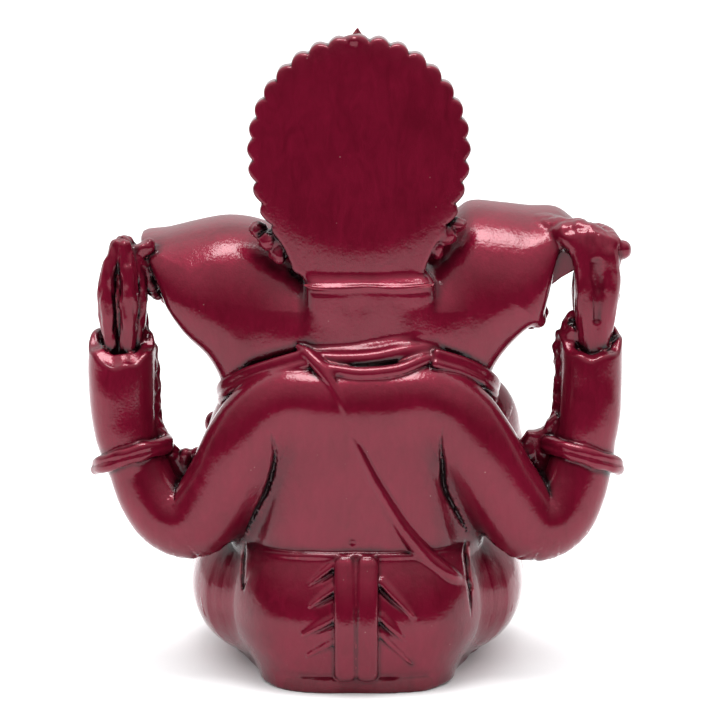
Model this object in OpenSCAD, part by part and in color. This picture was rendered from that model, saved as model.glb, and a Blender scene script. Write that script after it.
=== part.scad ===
// Seated four-armed Ganesha figure, cast in sections and cemented.
// The figure faces -Y, its left hand is at +X, and it stands on Z = 0.
// All shapes are drawn for a figure 119 mm tall and scaled together.

/* [Figure] */
// Overall height, base to tip of the finial
height = 119; // [90:1:240]
// Sides of a limb's cross-section
limb_sides = 14; // [10:2:20]
// Segments round a rounded body
body_sides = 20; // [16:2:28]

/* [Base] */
// Thickness of the slab under the figure
base_t = 3; // [2:0.5:5]
// Half width of the slab
base_half_w = 25.5; // [24:0.5:30]
// Reach of the slab in front of the origin
base_front = 33; // [32:1:40]
// Reach of the slab behind the origin
base_back = 30.5; // [28:0.5:32]

/* [Crown] */
// Half width of the fan plate behind the crown
plate_r = 19.3; // [17:0.1:22]
// Thickness of the fan plate
plate_t = 3; // [2:0.2:5]
// Forward lean of the fan plate, degrees
plate_lean = 7; // [0:1:12]
// Scallops round the rim of the fan plate
plate_scallops = 21; // [15:1:31]
// How far a scallop stands out
scallop_d = 1.1; // [0.5:0.1:2]
// Radius of the crown's lowest tier
crown_r = 12.5; // [10:0.5:14]

/* [Body] */
// Height of the waist, where the dhoti's rim lies
waist_z = 25; // [24:0.5:26]
// Height of the cut under the crown
brow_z = 84; // [83:0.5:85]
// Half width of the belly
belly_r = 20; // [18:0.5:21]

/* [Jewellery] */
// Radius of an armlet's round section
armlet_r = 1.3; // [0.8:0.1:1.6]
// Radius of a bangle's round section
bangle_r = 0.9; // [0.6:0.1:1.2]
// Radius of the sacred thread
thread_r = 1.2; // [0.8:0.1:1.6]

/* [Hidden] */

left = 1;
right = -1;
lacquer = "crimson";
drawn_height = 119;
size = height / drawn_height;
// The middle of the figure's depth, as drawn; the origin is put there
mid_y = -6;
far = 200;

// Limb stations: [x, y, z, radius in the limb's plane, radius across it], drawn for the left side
rear_left_arm = [
    [2, 15, 52.8, 8, 6.5], [10, 15, 53.4, 7.9, 6.6], [17, 14.5, 50.8, 7.6, 6.6], [21.4, 14, 44.8, 7.5, 6.6],
    [24.6, 13, 37.2, 7.5, 6.6], [29.4, 12, 29.6, 7.4, 6.8], [34.8, 11, 29.8, 6.6, 6.4], [38.8, 9.8, 34.2, 6, 6],
    [41.2, 8.8, 40.6, 5.6, 5.6],
];
rear_right_arm = [
    [2, 15, 52.8, 8, 6.5], [10, 15, 53.6, 7.9, 6.6], [17, 14.5, 51.4, 7.6, 6.6], [22, 14, 45.2, 7.5, 6.6],
    [26.2, 13, 36.6, 7.5, 6.6], [31.6, 12, 28.8, 7.4, 6.8], [37, 11, 29.8, 6.7, 6.4], [40.4, 9.8, 35.6, 6, 6],
    [41.6, 8.8, 42, 5.6, 5.6],
];
rear_forearm = [[42, 8.5, 41.3, 5.4, 5.4], [43.2, 7.4, 48, 5.6, 5.6], [43.7, 6.8, 55, 6.1, 6], [43.7, 6.5, 61, 6.3, 6.2]];
front_left_arm = [[16, 1, 52, 6.6, 6.6], [21.5, -3.5, 43, 6.4, 6.4], [23, -8.5, 33.5, 6, 6]];
front_left_elbow = [[23, -9, 33, 5.6, 5.6], [21, -18.5, 29.2, 5, 5], [16.5, -26.5, 28, 4, 4]];
front_right_arm = [[-16, 1, 51.5, 6.6, 6.6], [-23.2, -4, 43.5, 6.4, 6.4], [-26, -8.5, 34.5, 6.1, 6.1]];
front_right_elbow = [[-26, -9, 34, 5.7, 5.7], [-24.8, -17.5, 36, 5, 5], [-22, -24.5, 41, 4, 4]];
thigh = [[11, 7, 13.6, 10.2, 10.2], [18.6, -3, 13.8, 10.6, 10.6], [22.6, -15.5, 12.6, 8.8, 8.8]];
left_lower_leg = [[22.6, -18.5, 9.8, 7, 6.8], [13, -26.5, 8.8, 6, 5.8], [3, -31, 8.4, 5, 5]];
right_lower_leg = [[-22.6, -18.5, 11, 7.2, 7], [-13, -26, 12.4, 6, 5.8], [-2, -29, 14.6, 4.8, 4.8]];
left_sole = [[1, -32.5, 7.8, 4.4, 4.4], [-6, -33.4, 7, 3.8, 3.8], [-12.5, -32.8, 6.6, 3.9, 3.2]];
right_sole = [[0, -30, 15.2, 4.2, 4.2], [6, -29.8, 16.2, 3.8, 3.6], [12, -28.2, 17, 3.9, 3]];
trunk_line = [
    [0, -13, 76, 6, 5.6], [0, -18.6, 71.4, 5.9, 5.6], [0, -23, 65, 5.3, 5.1], [0.4, -25.2, 58, 4.6, 4.5],
    [2.6, -26.3, 51, 3.9, 3.9], [6.6, -28.2, 45.6, 3.4, 3.4], [11, -30.6, 43.4, 2.9, 2.9], [14.4, -32, 44, 2.5, 2.5],
];
scarf_line = [
    [14.5, -5, 57.5, 2, 2], [15, 5, 59.5, 2.3, 2], [10.5, 14, 60, 2.8, 2], [-2, 18, 58.8, 3, 2],
    [-13.5, 14, 60, 2.8, 2], [-16, 5, 59.5, 2.3, 2], [-14.5, -5, 57.5, 2, 2],
];
necklace_line = [
    [12.6, -7, 57.4, 1.5, 1.5], [10.4, -13.8, 54, 1.6, 1.6], [5.6, -17.8, 50.6, 1.8, 1.8], [0, -19, 49.4, 1.9, 1.9],
    [-5.6, -17.8, 50.6, 1.8, 1.8], [-10.4, -13.8, 54, 1.6, 1.6], [-12.6, -7, 57.4, 1.5, 1.5],
];
thread_back = [[6, 20.5, 50], [1.2, 21.5, 45], [-4.5, 21.5, 37.5], [-10, 20.8, 30.5], [-16.5, 18.6, 25.5]];
thread_front = [[13, -10, 53.5], [6, -21.8, 47], [1, -26.9, 42.4], [-4, -28.6, 37.5], [-12.5, -24.8, 28], [-18, -14.5, 25.8]];

// Body sections: [z, half width, back y, front y, centre x]
seat_sections = [
    [3, 18, 23, -6, 0], [6, 20, 25, -6, 0], [12, 20.9, 26, -6, 0], [18, 21, 25, -6, 0],
    [22, 20.8, 23.2, -6, 0], [25, 20.5, 21.8, -6, 0],
];
torso_sections = [
    [25, 19.6, 20.4, -6, 0], [32, 18.8, 20.6, -7, 0], [40, 17.8, 21, -9, 0], [48, 17.4, 21.2, -12, 0],
    [54, 16.4, 19.6, -12, 0], [59, 13, 17, -9, -1], [62, 11, 15.2, -7, -2],
];
neck_sections = [[61, 11.4, 15.6, -7, -2], [66, 11.8, 16.8, -8, -2], [73, 12.2, 17.6, -8, -2]];

// Ear outlines: [x, z], from the inner top corner round by the outer tip
left_ear_outline = [
    [13, 79], [17.5, 84], [24.4, 86], [32.7, 84.4], [38.6, 83], [40.2, 80.5], [37.6, 71.5], [33.8, 64.8],
    [28.2, 58.4], [25, 53.6], [17, 57.5], [10, 61.8], [11.5, 71],
];
right_ear_outline = [
    [-14.5, 80], [-17.5, 88], [-26.5, 89.8], [-36.6, 88.4], [-42.4, 85.8], [-40.4, 80.5], [-36.4, 74],
    [-33.4, 67.6], [-27.6, 61], [-23.5, 55], [-18, 57.5], [-14, 60], [-14.4, 71],
];

function unit(v) = v / norm(v);
function place(s) = [s[0], s[1], s[2]];
function mirrored(side, stations) = [for (s = stations) [side * s[0], s[1], s[2], s[3], s[4]]];
function flat(lists) = [for (l = lists) each l];
function along(s, i) = unit(place(s[min(i + 1, len(s) - 1)]) - place(s[max(i - 1, 0)]));
function signed_power(v, e) = sign(v) * pow(abs(v), e);

// One ring of points round c, square to the direction t
function ring(c, t, up, ra, rb, n) =
    let (u = unit(cross(up, t)), w = cross(t, u))
    [for (j = [0:n - 1]) c + ra * cos(360 * j / n) * u + rb * sin(360 * j / n) * w];

// Rings that close a limb with a rounded end; side is -1 at its start and 1 at its end
function round_end(s, t, up, n, side) =
    let (turns = side < 0 ? [82, 55, 28] : [28, 55, 82], r = (s[3] + s[4]) / 2)
    [for (a = turns) ring(place(s) + side * r * sin(a) * t, t, up, s[3] * cos(a), s[4] * cos(a), n)];

// Faces between rings of n points, with a flat cap at each end
function skin_faces(rings, n) = concat(
    [[for (j = [0:n - 1]) j]],
    [for (i = [0:rings - 2], j = [0:n - 1])
        let (a = i * n + j, b = i * n + (j + 1) % n) each [[a, a + n, b + n], [a, b + n, b]]],
    [[for (j = [n - 1:-1:0]) (rings - 1) * n + j]]
);

module skin(rings) {
    n = len(rings[0]);
    polyhedron(points = flat(rings), faces = skin_faces(len(rings), n), convexity = 6);
}

// A limb swept along its stations
module limb(s, up = [0, 1, 0], round_start = true, round_finish = true, n = limb_sides) {
    last = len(s) - 1;
    skin(concat(
        round_start ? round_end(s[0], along(s, 0), up, n, -1) : [],
        [for (i = [0:last]) ring(place(s[i]), along(s, i), up, s[i][3], s[i][4], n)],
        round_finish ? round_end(s[last], along(s, last), up, n, 1) : []
    ));
}

// A thin cord of one radius along a list of points
module cord(points, r, up = [0, 1, 0], n = 8) limb([for (p = points) [p[0], p[1], p[2], r, r]], up, n = n);

// A body stacked from flat sections, squarer than an ellipse
module stacked(sections, squareness, n = 26) skin([
    for (s = sections) [
        for (j = [0:n - 1]) let (c = cos(360 * j / n), d = sin(360 * j / n), e = 2 / squareness) [
            s[4] + s[1] * signed_power(c, e),
            (s[2] + s[3]) / 2 + (s[2] - s[3]) / 2 * signed_power(d, e),
            s[0],
        ]
    ]
]);

module ball(c, r, turn = [0, 0, 0], n = body_sides) translate(c) rotate(turn) scale(r) sphere(1, $fn = n);
module below(z) translate([-far / 2, -far / 2, z - far]) cube(far);
module above(z) translate([-far / 2, -far / 2, z]) cube(far);

// A carved body kept as one closed skin; the resize leaves its size as it is
module cast_body() color(lacquer) resize([0, 0, 0]) scale(size) translate([0, -mid_y, 0]) difference() {
    children(0);
    if ($children > 1) children([1:$children - 1]);
}
// A turned or drawn body with true curves
module turned_body() color(lacquer) scale(size) translate([0, -mid_y, 0]) children();

// ---- Base and dhoti ----

module slab_outline() hull() for (side = [left, right]) {
    translate([side * 7, mid_y + base_back - 9]) circle(9, $fn = 48);
    translate([side * (base_half_w - 8), -11]) circle(8, $fn = 48);
    translate([side * (base_half_w - 14), mid_y - base_front + 12]) circle(12, $fn = 48);
}
module base_slab() turned_body() linear_extrude(base_t) slab_outline();

module raw_seat() stacked(seat_sections, 2.7);
module seat() cast_body() {
    raw_seat();
    below(base_t);
}

// Two pleats tucked over the rim and hanging down the middle of the back
module dhoti_tail() cast_body() {
    union() for (side = [left, right]) limb([
        [side * 1.5, 21.4, 25.6, 1.3, 1.7], [side * 1.5, 23.8, 22.2, 1.3, 1.8], [side * 1.6, 25.5, 17.5, 1.3, 1.9],
        [side * 1.6, 26.4, 12, 1.3, 1.9], [side * 1.6, 25.5, 6, 1.3, 1.9], [side * 1.6, 23.2, 3.2, 1.2, 1.9],
    ], [1, 0, 0], n = 12);
    raw_seat();
    raw_waist_band();
    below(base_t);
}

module raw_waist_band() stacked([[24.6, 20.9, 22, -5, 0], [26.6, 20.5, 21.7, -5, 0]], 2.7);
module waist_band() cast_body() {
    raw_waist_band();
    raw_seat();
    raw_torso();
    raw_belly();
    translate([0, -far / 2 - 5, 0]) cube([far, far, far], center = true);
}

// Fan of cloth hanging over the crossed ankles
module front_pleats() cast_body() {
    limb([
        [0, -28, 22.5, 1.2, 2.4], [0, -34.2, 20.4, 1.2, 3.4], [0, -37, 14, 1.2, 5], [0, -38.2, 8, 1.2, 6.4],
        [0, -38.6, 4.2, 1.1, 7.4],
    ], [1, 0, 0], n = 16);
    raw_shins();
    raw_soles();
    raw_belly();
    below(base_t);
}

// ---- Trunk of the body ----

module raw_torso() stacked(torso_sections, 2.5);
module torso() cast_body() {
    raw_torso();
    below(waist_z);
}

module raw_belly() ball([0, -8, 36], [belly_r, 20.5, 15.5], n = 26);
module belly() cast_body() {
    raw_belly();
    raw_torso();
    raw_seat();
}

module raw_neck() stacked(neck_sections, 4);
module neck() cast_body() {
    raw_neck();
    raw_torso();
}

module raw_scarf() {
    limb(scarf_line, [0, 0, 1], n = 12);
    limb([[9.5, 16.5, 61, 1.4, 1.2], [6.5, 20.5, 57, 2.6, 1.2], [3, 22.5, 52, 1.2, 0.9]], n = 10);
}
module neck_scarf() cast_body() {
    raw_scarf();
    raw_neck();
    raw_torso();
    raw_rear_arm(left);
    raw_rear_arm(right);
}

module thread_part(points, up) cast_body() {
    cord(points, thread_r, up);
    raw_torso();
    raw_belly();
    raw_neck();
    raw_scarf();
    raw_necklace();
    raw_waist_band();
    for (side = [left, right]) raw_rear_arm(side);
}

module raw_necklace() limb(necklace_line, [0, 0, 1], n = 12);
module necklace() cast_body() {
    raw_necklace();
    raw_torso();
    raw_belly();
    raw_scarf();
}

// ---- Head ----

module raw_head() {
    ball([0, -3, 77], [13, 13.5, 12.5]);
    for (side = [left, right]) {
        ball([side * 5, -8.5, 81], [7, 7, 6.5], n = 16);
        ball([side * 7, -8.5, 69], [6, 7.5, 6.5], n = 16);
    }
    ball([0, -8.5, 64.5], [6, 7.5, 5], n = 16);
}
module head() cast_body() {
    raw_head();
    raw_neck();
    raw_torso();
    above(brow_z);
}

module raw_trunk() limb(trunk_line, [1, 0, 0]);
module trunk() cast_body() {
    raw_trunk();
    raw_head();
    raw_belly();
    above(brow_z);
}

module raw_tusk(side, whole) limb(mirrored(side, whole
    ? [[4.6, -15.5, 69.5, 2, 2], [6, -21, 66, 1.7, 1.7], [7.2, -25, 64.2, 1.3, 1.3], [8, -28, 64, 0.7, 0.7]]
    : [[4.6, -15.5, 69.5, 2, 2], [5.6, -19.5, 67, 1.8, 1.8], [6, -21.4, 66, 1.7, 1.7]]),
    round_finish = whole, n = 10);
module tusk(side, whole) cast_body() {
    raw_tusk(side, whole);
    raw_head();
    raw_trunk();
}

// A leaf-shaped shell: a thin edge at y_edge, domed at the back and hollowed in front
module leaf(outline, centre, y_edge, y_back, y_front, edge_t = 0.9, share = 0.62) {
    n = len(outline);
    inner = [for (p = outline) centre + share * (p - centre)];
    back = y_edge + 0.72 * (y_back - y_edge);
    front = y_edge + 0.8 * (y_front - y_edge);
    rim = concat(
        [for (p = inner) [p[0], front, p[1]]],
        [for (p = outline) [p[0], y_edge - edge_t, p[1]]],
        [for (p = outline) [p[0], y_edge + edge_t, p[1]]],
        [for (p = inner) [p[0], back, p[1]]],
        [[centre[0], y_front, centre[1]], [centre[0], y_back, centre[1]]]
    );
    side_faces = [for (i = [0:2], j = [0:n - 1])
        let (a = i * n + j, b = i * n + (j + 1) % n) each [[a, a + n, b + n], [a, b + n, b]]];
    ends = [for (j = [0:n - 1]) let (b = (j + 1) % n) each [[4 * n, j, b], [4 * n + 1, 3 * n + b, 3 * n + j]]];
    polyhedron(points = rim, faces = concat(side_faces, ends), convexity = 4);
}
module raw_left_ear() mirror([1, 0, 0])
    leaf([for (p = left_ear_outline) [-p[0], p[1]]], [-24, 71], 4.5, 11, 3);
module raw_right_ear() leaf(right_ear_outline, [-25, 73], 4.5, 11, 3);
module ear(side) cast_body() {
    if (side == left) raw_left_ear();
    else raw_right_ear();
    raw_head();
    raw_neck();
    raw_scarf();
    raw_torso();
    raw_rear_arm(side);
    raw_plate();
    raw_front_arms();
}

module earring(side) turned_body() translate([side == left ? 29.5 : -32.4, 0.2, 66.5]) rotate([90, 0, 0]) union() {
    rotate_extrude($fn = 48) translate([2.3, 0]) circle(0.9, $fn = 24);
    cylinder(h = 1.2, r = 1.5, center = true, $fn = 32);
}

// ---- Crown ----

// Half width of the fan plate at height v above its widest line
function plate_edge(a) =
    let (low = a > 180, pinch = low ? pow(sin(a), 2) : 0)
    [plate_r * cos(a) * (1 - 0.14 * pinch), plate_r * sin(a) * (low ? 1.14 : 1.1)];
function scallop(a) = scallop_d * abs(sin(a * plate_scallops * 360 / (2 * 250)));
module plate_outline() union() {
    polygon([for (a = [0:1.5:358.5]) let (p = plate_edge(a), wavy = a < 215 || a > 325)
        p + (wavy ? scallop(a + 35) : 0) * unit(p)]);
    translate([-14, -24.5]) square([24, 8]);
}
module raw_plate() translate([0, 7.5, 95.5]) rotate([90 + plate_lean, 0, 0])
    linear_extrude(plate_t, center = true) plate_outline();
module crown_plate() cast_body() {
    raw_plate();
    raw_neck();
    raw_head();
}

crown_centre = [0, -6, 0];
module crown_tier(profile) translate(crown_centre) difference() {
    rotate_extrude($fn = 64) polygon(profile);
    translate([-far / 2, 8.5, 0]) cube(far);
}
module crown_band() turned_body() crown_tier([
    [0, brow_z], [12.8, brow_z], [13.6, brow_z + 1], [13.6, brow_z + 3.6], [12.8, brow_z + 4.6], [0, brow_z + 4.6],
]);
module crown_dome() turned_body() crown_tier([
    [0, brow_z + 4.6], [crown_r - 0.6, brow_z + 4.6], [crown_r, brow_z + 7], [crown_r - 0.8, brow_z + 11],
    [crown_r - 2.6, brow_z + 12.4], [crown_r - 2.4, brow_z + 15], [crown_r - 3.6, brow_z + 19],
    [crown_r - 5.6, brow_z + 20.4], [crown_r - 5.8, brow_z + 23], [crown_r - 7.4, brow_z + 26], [0, brow_z + 26],
]);
module crown_finial() turned_body() translate(crown_centre) rotate_extrude($fn = 48) polygon([
    [0, brow_z + 26], [3, brow_z + 26], [3.4, brow_z + 27.4], [2, brow_z + 28.6], [3.2, brow_z + 30.6],
    [2.2, brow_z + 33], [0.9, brow_z + 34.4], [0, drawn_height],
]);

// ---- Rear arms ----

module raw_rear_arm(side)
    limb(mirrored(side, side == left ? rear_left_arm : rear_right_arm), round_finish = false);
module rear_upper_arm(side) cast_body() {
    raw_rear_arm(side);
    raw_torso();
    raw_neck();
    raw_waist_band();
    translate([-side * far / 2, 0, 0]) cube([far, far, far], center = true);
}
module raw_rear_forearm(side) limb(mirrored(side, rear_forearm), round_start = false, round_finish = false);
module rear_forearm_piece(side) cast_body() {
    raw_rear_forearm(side);
    raw_rear_arm(side);
    translate([side * 43.7, 6.5, 59.5]) cylinder(r = 4.6, h = 3, $fn = 24);
}

// Palm with four straight fingers and a thumb, held upright
module upright_hand(palm, lean, spread, finger_r, reach) {
    ball(palm, [4.1, 2.8, 6.2], [0, lean, 0], n = 16);
    for (i = [0:3]) let (x = palm[0] + spread * (i - 1.5), end = palm[2] + reach - abs(i - 1.4) * 1.2) limb([
        [x, palm[1], palm[2] + 2, finger_r, finger_r], [x, palm[1] - 0.6, (palm[2] + end) / 2 + 2, finger_r, finger_r],
        [x - 0.2 * spread * (i - 1.5), palm[1] - 1.4, end, finger_r * 0.8, finger_r * 0.8],
    ], n = 8);
}
module rear_left_hand() cast_body() {
    union() {
        limb([[43.7, 6.5, 59.5, 3.5, 3.1], [43.6, 6.3, 63, 3.5, 2.9]], n = 12);
        upright_hand([43.6, 6, 66.5], 0, 2.1, 1.35, 12.6);
        limb([[41, 5, 65, 1.5, 1.5], [39.8, 3, 69, 1.5, 1.5], [39.8, 1.6, 73, 1.2, 1.2]], n = 8);
    }
    raw_left_ear();
    raw_rear_forearm(left);
}
module rear_right_hand() cast_body() {
    union() {
        limb([[-43.7, 6.5, 59.5, 3.6, 3.2], [-43.8, 6.3, 63, 3.7, 3]], n = 12);
        ball([-44.6, 5.6, 73], [3.9, 3, 11], n = 16);
        for (z = [71:3.2:81]) limb([
            [-46.4, 5, z, 1.7, 1.7], [-45.4, 0.2, z + 1, 1.7, 1.7],
            [-42, -3.9, z + 1.2, 1.5, 1.5], [-39.2, -3.2, z + 0.8, 1.2, 1.2],
        ], [0, 0, 1], n = 8);
        limb([[-41.8, 4, 66, 1.6, 1.6], [-39.4, -0.4, 69, 1.5, 1.5], [-39, -2.4, 73, 1.2, 1.2]], n = 8);
    }
    raw_axe();
    raw_right_ear();
    raw_rear_forearm(right);
}
// Bracelet ring round the elbow end of the forearm
module rear_armlet(side) turned_body() translate([side * 41.6, 8.6, 41.2]) rotate([10, side * 16, 0])
    rotate_extrude($fn = 64) translate([7.2, 0]) circle(armlet_r, $fn = 24);

// Noose of rope hanging before the left ear, with its knot at the wrist
module noose() turned_body() translate([35.4, -0.4, 73.5]) rotate([90, 0, 8]) union() {
    rotate_extrude($fn = 64) translate([5, 0]) circle(1.1, $fn = 24);
    translate([2.9, -6.8, 0]) rotate([90, 0, 12]) cylinder(h = 6, r = 1.3, center = true, $fn = 32);
    translate([3.5, -10, 0]) sphere(1.9, $fn = 32);
}
// Small axe held upright before the right ear
module raw_axe() translate([-42, -0.9, 74]) rotate([0, 5, 0]) union() {
    cylinder(h = 26, r = 1.1, center = true, $fn = 32);
    translate([0, 0, -13]) sphere(1.7, $fn = 32);
    translate([0, 0, 6]) rotate([90, 0, 0]) linear_extrude(1.6, center = true)
        polygon([[0, -1.6], [4, -4.6], [8, -5.4], [9.4, -3], [9.8, 0], [9.4, 3], [8, 5.4], [4, 4.6], [0, 1.6]]);
}
module axe() turned_body() raw_axe();

// ---- Front arms ----

module raw_front_arms() {
    limb(front_left_arm, [1, 0, 0]);
    limb(front_right_arm, [1, 0, 0]);
}
module front_upper_arm(stations) cast_body() {
    limb(stations, [1, 0, 0]);
    raw_torso();
    raw_belly();
    raw_rear_arm(left);
    raw_rear_arm(right);
}
module front_forearm(stations) cast_body() {
    limb(stations, [0, 0, 1], round_start = false, round_finish = false);
    raw_front_arms();
    raw_belly();
}
module front_left_hand() cast_body() {
    union() {
        ball([14, -30.2, 28.4], [4.6, 5, 2.4], n = 16);
        for (i = [0:3]) limb([
            [16.4 - i * 1.7, -32, 28.4, 1.3, 1.3], [16.2 - i * 1.9, -35, 30, 1.3, 1.3], [15.6 - i * 1.8, -36, 33, 1.1, 1.1],
        ], [1, 0, 0], n = 8);
        limb([[10.4, -28.5, 29, 1.4, 1.4], [8.6, -30, 31.4, 1.3, 1.3], [9, -31.6, 34, 1.1, 1.1]], [1, 0, 0], n = 8);
    }
    limb(front_left_elbow, [0, 0, 1], round_finish = false);
    raw_modak();
}
module front_right_hand() cast_body() {
    union() {
        upright_hand([-20.8, -27.2, 47], 0, 2.1, 1.25, 12);
        limb([[-18, -27.2, 45, 1.5, 1.5], [-15.4, -27.8, 48.5, 1.4, 1.4], [-14.8, -28, 51.5, 1.1, 1.1]], n = 8);
    }
    limb(front_right_elbow, [0, 0, 1], round_finish = false);
}
module band_round(c, turn, inner, r) turned_body() translate(c) rotate(turn)
    rotate_extrude($fn = 64) translate([inner + r, 0]) circle(r, $fn = 24);

// Steamed sweet with a pinched top, in the left palm
module raw_modak() translate([13.2, -31.4, 30]) rotate_extrude($fn = 32)
    polygon([[0, 0], [2.6, 0.4], [3.9, 2.2], [3.8, 4], [2.6, 5.8], [1.2, 7], [0.6, 8.4], [0, 9]]);
module modak() turned_body() raw_modak();

// ---- Legs ----

module raw_thigh(side) limb(mirrored(side, thigh), [0, 0, 1]);
module thigh_piece(side) cast_body() {
    raw_thigh(side);
    raw_seat();
    raw_torso();
    raw_belly();
    raw_waist_band();
    raw_shins();
    below(base_t);
}
module raw_shins() {
    limb(left_lower_leg, [0, 0, 1]);
    limb(right_lower_leg, [0, 0, 1]);
}
module left_shin() cast_body() {
    limb(left_lower_leg, [0, 0, 1]);
    raw_belly();
    below(base_t);
}
module right_shin() cast_body() {
    limb(right_lower_leg, [0, 0, 1]);
    limb(left_lower_leg, [0, 0, 1]);
    raw_belly();
    below(base_t);
}
module raw_soles() {
    limb(left_sole, [0, 0, 1], n = 12);
    limb(right_sole, [0, 0, 1], n = 12);
}
// Foot with five toes lying across the front
module left_foot() cast_body() {
    union() {
        limb(left_sole, [0, 0, 1], n = 12);
        for (i = [0:4]) limb([
            [-13, -31 - i * 0.9, 8.6 - i * 1, 1.3 - i * 0.08, 1.3 - i * 0.08],
            [-17.4 + i * 0.4, -31.2 - i * 0.9, 8.4 - i * 1, 1.2 - i * 0.08, 1.2 - i * 0.08],
        ], [0, 0, 1], n = 8);
    }
    raw_shins();
    below(base_t);
}
module right_foot() cast_body() {
    union() {
        limb(right_sole, [0, 0, 1], n = 12);
        for (i = [0:4]) limb([
            [13, -27 - i * 0.9, 18.6 - i * 0.9, 1.3 - i * 0.08, 1.3 - i * 0.08],
            [17 - i * 0.4, -26.8 - i * 0.9, 18.9 - i * 0.9, 1.2 - i * 0.08, 1.2 - i * 0.08],
        ], [0, 0, 1], n = 8);
    }
    raw_shins();
    raw_belly();
    for (side = [left, right]) raw_thigh(side);
}

base_slab();
seat();
dhoti_tail();
waist_band();
front_pleats();
torso();
belly();
neck();
neck_scarf();
thread_part(thread_back, [0, 1, 0]);  // back_thread
thread_part(thread_front, [0, 0, 1]);  // front_thread
necklace();
head();
trunk();
tusk(left, true);  // left_tusk
tusk(right, false);  // right_tusk
ear(left);  // left_ear
ear(right);  // right_ear
earring(left);  // left_earring
earring(right);  // right_earring
crown_plate();
crown_band();
crown_dome();
crown_finial();
rear_upper_arm(left);  // rear_left_upper_arm
rear_upper_arm(right);  // rear_right_upper_arm
rear_forearm_piece(left);  // rear_left_forearm
rear_forearm_piece(right);  // rear_right_forearm
rear_left_hand();
rear_right_hand();
rear_armlet(left);  // rear_left_armlet
rear_armlet(right);  // rear_right_armlet
noose();
axe();
front_upper_arm(front_left_arm);  // front_left_upper_arm
front_upper_arm(front_right_arm);  // front_right_upper_arm
front_forearm(front_left_elbow);  // front_left_forearm
front_forearm(front_right_elbow);  // front_right_forearm
front_left_hand();
front_right_hand();
band_round([21.6, -3.6, 42.8], [26, 14, 0], 6.4, armlet_r);  // front_left_armlet
band_round([-23, -3.8, 43.8], [20, -14, 0], 6.4, armlet_r);  // front_right_armlet
band_round([18, -24, 28.4], [80, 0, 28], 4.4, bangle_r);  // front_left_bangle
band_round([-22.8, -22.6, 39.6], [55, 0, -20], 4.4, bangle_r);  // front_right_bangle
modak();
thigh_piece(left);  // left_thigh
thigh_piece(right);  // right_thigh
left_shin();
right_shin();
left_foot();
right_foot();
band_round([5.5, -30.8, 8.4], [0, 84, 20], 5.4, bangle_r);  // left_anklet
band_round([-4.4, -29.2, 14.4], [0, 80, -12], 5.2, bangle_r);  // right_anklet
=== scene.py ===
import bpy
import math
import numpy as np
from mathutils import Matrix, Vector


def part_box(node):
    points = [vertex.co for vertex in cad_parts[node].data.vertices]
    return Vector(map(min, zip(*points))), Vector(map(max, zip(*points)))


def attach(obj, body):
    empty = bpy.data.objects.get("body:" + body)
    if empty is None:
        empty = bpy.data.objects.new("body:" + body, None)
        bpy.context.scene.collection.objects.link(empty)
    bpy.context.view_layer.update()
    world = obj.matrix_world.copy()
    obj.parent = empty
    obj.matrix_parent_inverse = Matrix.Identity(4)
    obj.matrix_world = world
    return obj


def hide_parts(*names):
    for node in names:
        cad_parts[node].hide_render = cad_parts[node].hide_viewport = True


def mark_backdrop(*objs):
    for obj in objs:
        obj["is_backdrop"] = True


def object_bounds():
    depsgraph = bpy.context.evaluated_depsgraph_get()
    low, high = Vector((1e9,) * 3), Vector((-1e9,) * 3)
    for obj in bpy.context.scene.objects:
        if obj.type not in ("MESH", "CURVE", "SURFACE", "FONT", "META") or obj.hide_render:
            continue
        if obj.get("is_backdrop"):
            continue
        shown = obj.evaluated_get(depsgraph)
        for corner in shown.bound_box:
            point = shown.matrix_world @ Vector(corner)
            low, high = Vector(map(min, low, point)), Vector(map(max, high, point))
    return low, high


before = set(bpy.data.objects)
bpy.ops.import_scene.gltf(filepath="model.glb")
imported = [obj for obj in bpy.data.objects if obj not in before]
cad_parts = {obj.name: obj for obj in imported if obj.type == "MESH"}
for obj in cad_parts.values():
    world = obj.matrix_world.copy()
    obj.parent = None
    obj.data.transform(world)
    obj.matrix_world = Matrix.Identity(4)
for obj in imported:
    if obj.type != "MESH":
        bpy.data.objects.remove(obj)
cad_low, cad_high = [list(corner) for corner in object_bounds()]

# ---------------------------------------------------------------------------
# Measures. Forms are drawn in millimetres for a figure 119 mm tall whose depth
# is centred on MIDDLE_Y, then carried into the frame by the CAD model's box.
# ---------------------------------------------------------------------------
DRAWN_HEIGHT = 119.0
MIDDLE_Y = -6.0
METRES = (cad_high[2] - cad_low[2]) / DRAWN_HEIGHT
SHIFT_Y = (cad_high[1] + cad_low[1]) / 2 / METRES - MIDDLE_Y
LEFT, RIGHT = 1, -1
SIDES = ((LEFT, "left"), (RIGHT, "right"))
# A form farther than REACH mm from a piece's box leaves it alone
REACH = 4.0
# Cells along a side of a coarse block, and how many times its own cell size a piece is meshed at
COARSE = 4
FINE = 1.0


def centre_of(node):
    """The middle of a CAD node's box, in drawn millimetres."""
    low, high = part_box(node)
    middle = (np.array(low) + np.array(high)) / 2 / METRES
    return middle - [0, SHIFT_Y, 0]


# ---------------------------------------------------------------------------
# Signed distance forms. p is many points at once, and k is how many
# millimetres wide a blend is.
# ---------------------------------------------------------------------------
def blend_min(a, b, k):
    h = np.maximum(k - np.abs(a - b), 0) / k
    return np.minimum(a, b) - h * h * k / 4


def blend_max(a, b, k):
    return -blend_min(-a, -b, k)


class Form:
    """A distance field with the box that holds it."""

    def __init__(self, field, low, high):
        self.field = field
        self.low = np.array(low, float)
        self.high = np.array(high, float)

    def __call__(self, p):
        return self.field(p)

    def gap(self, p):
        """How far p is from the box, which the form is at least as far from."""
        g = np.maximum(self.low - p, p - self.high)
        return np.maximum(np.maximum(g[:, 0], g[:, 1]), g[:, 2])


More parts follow.
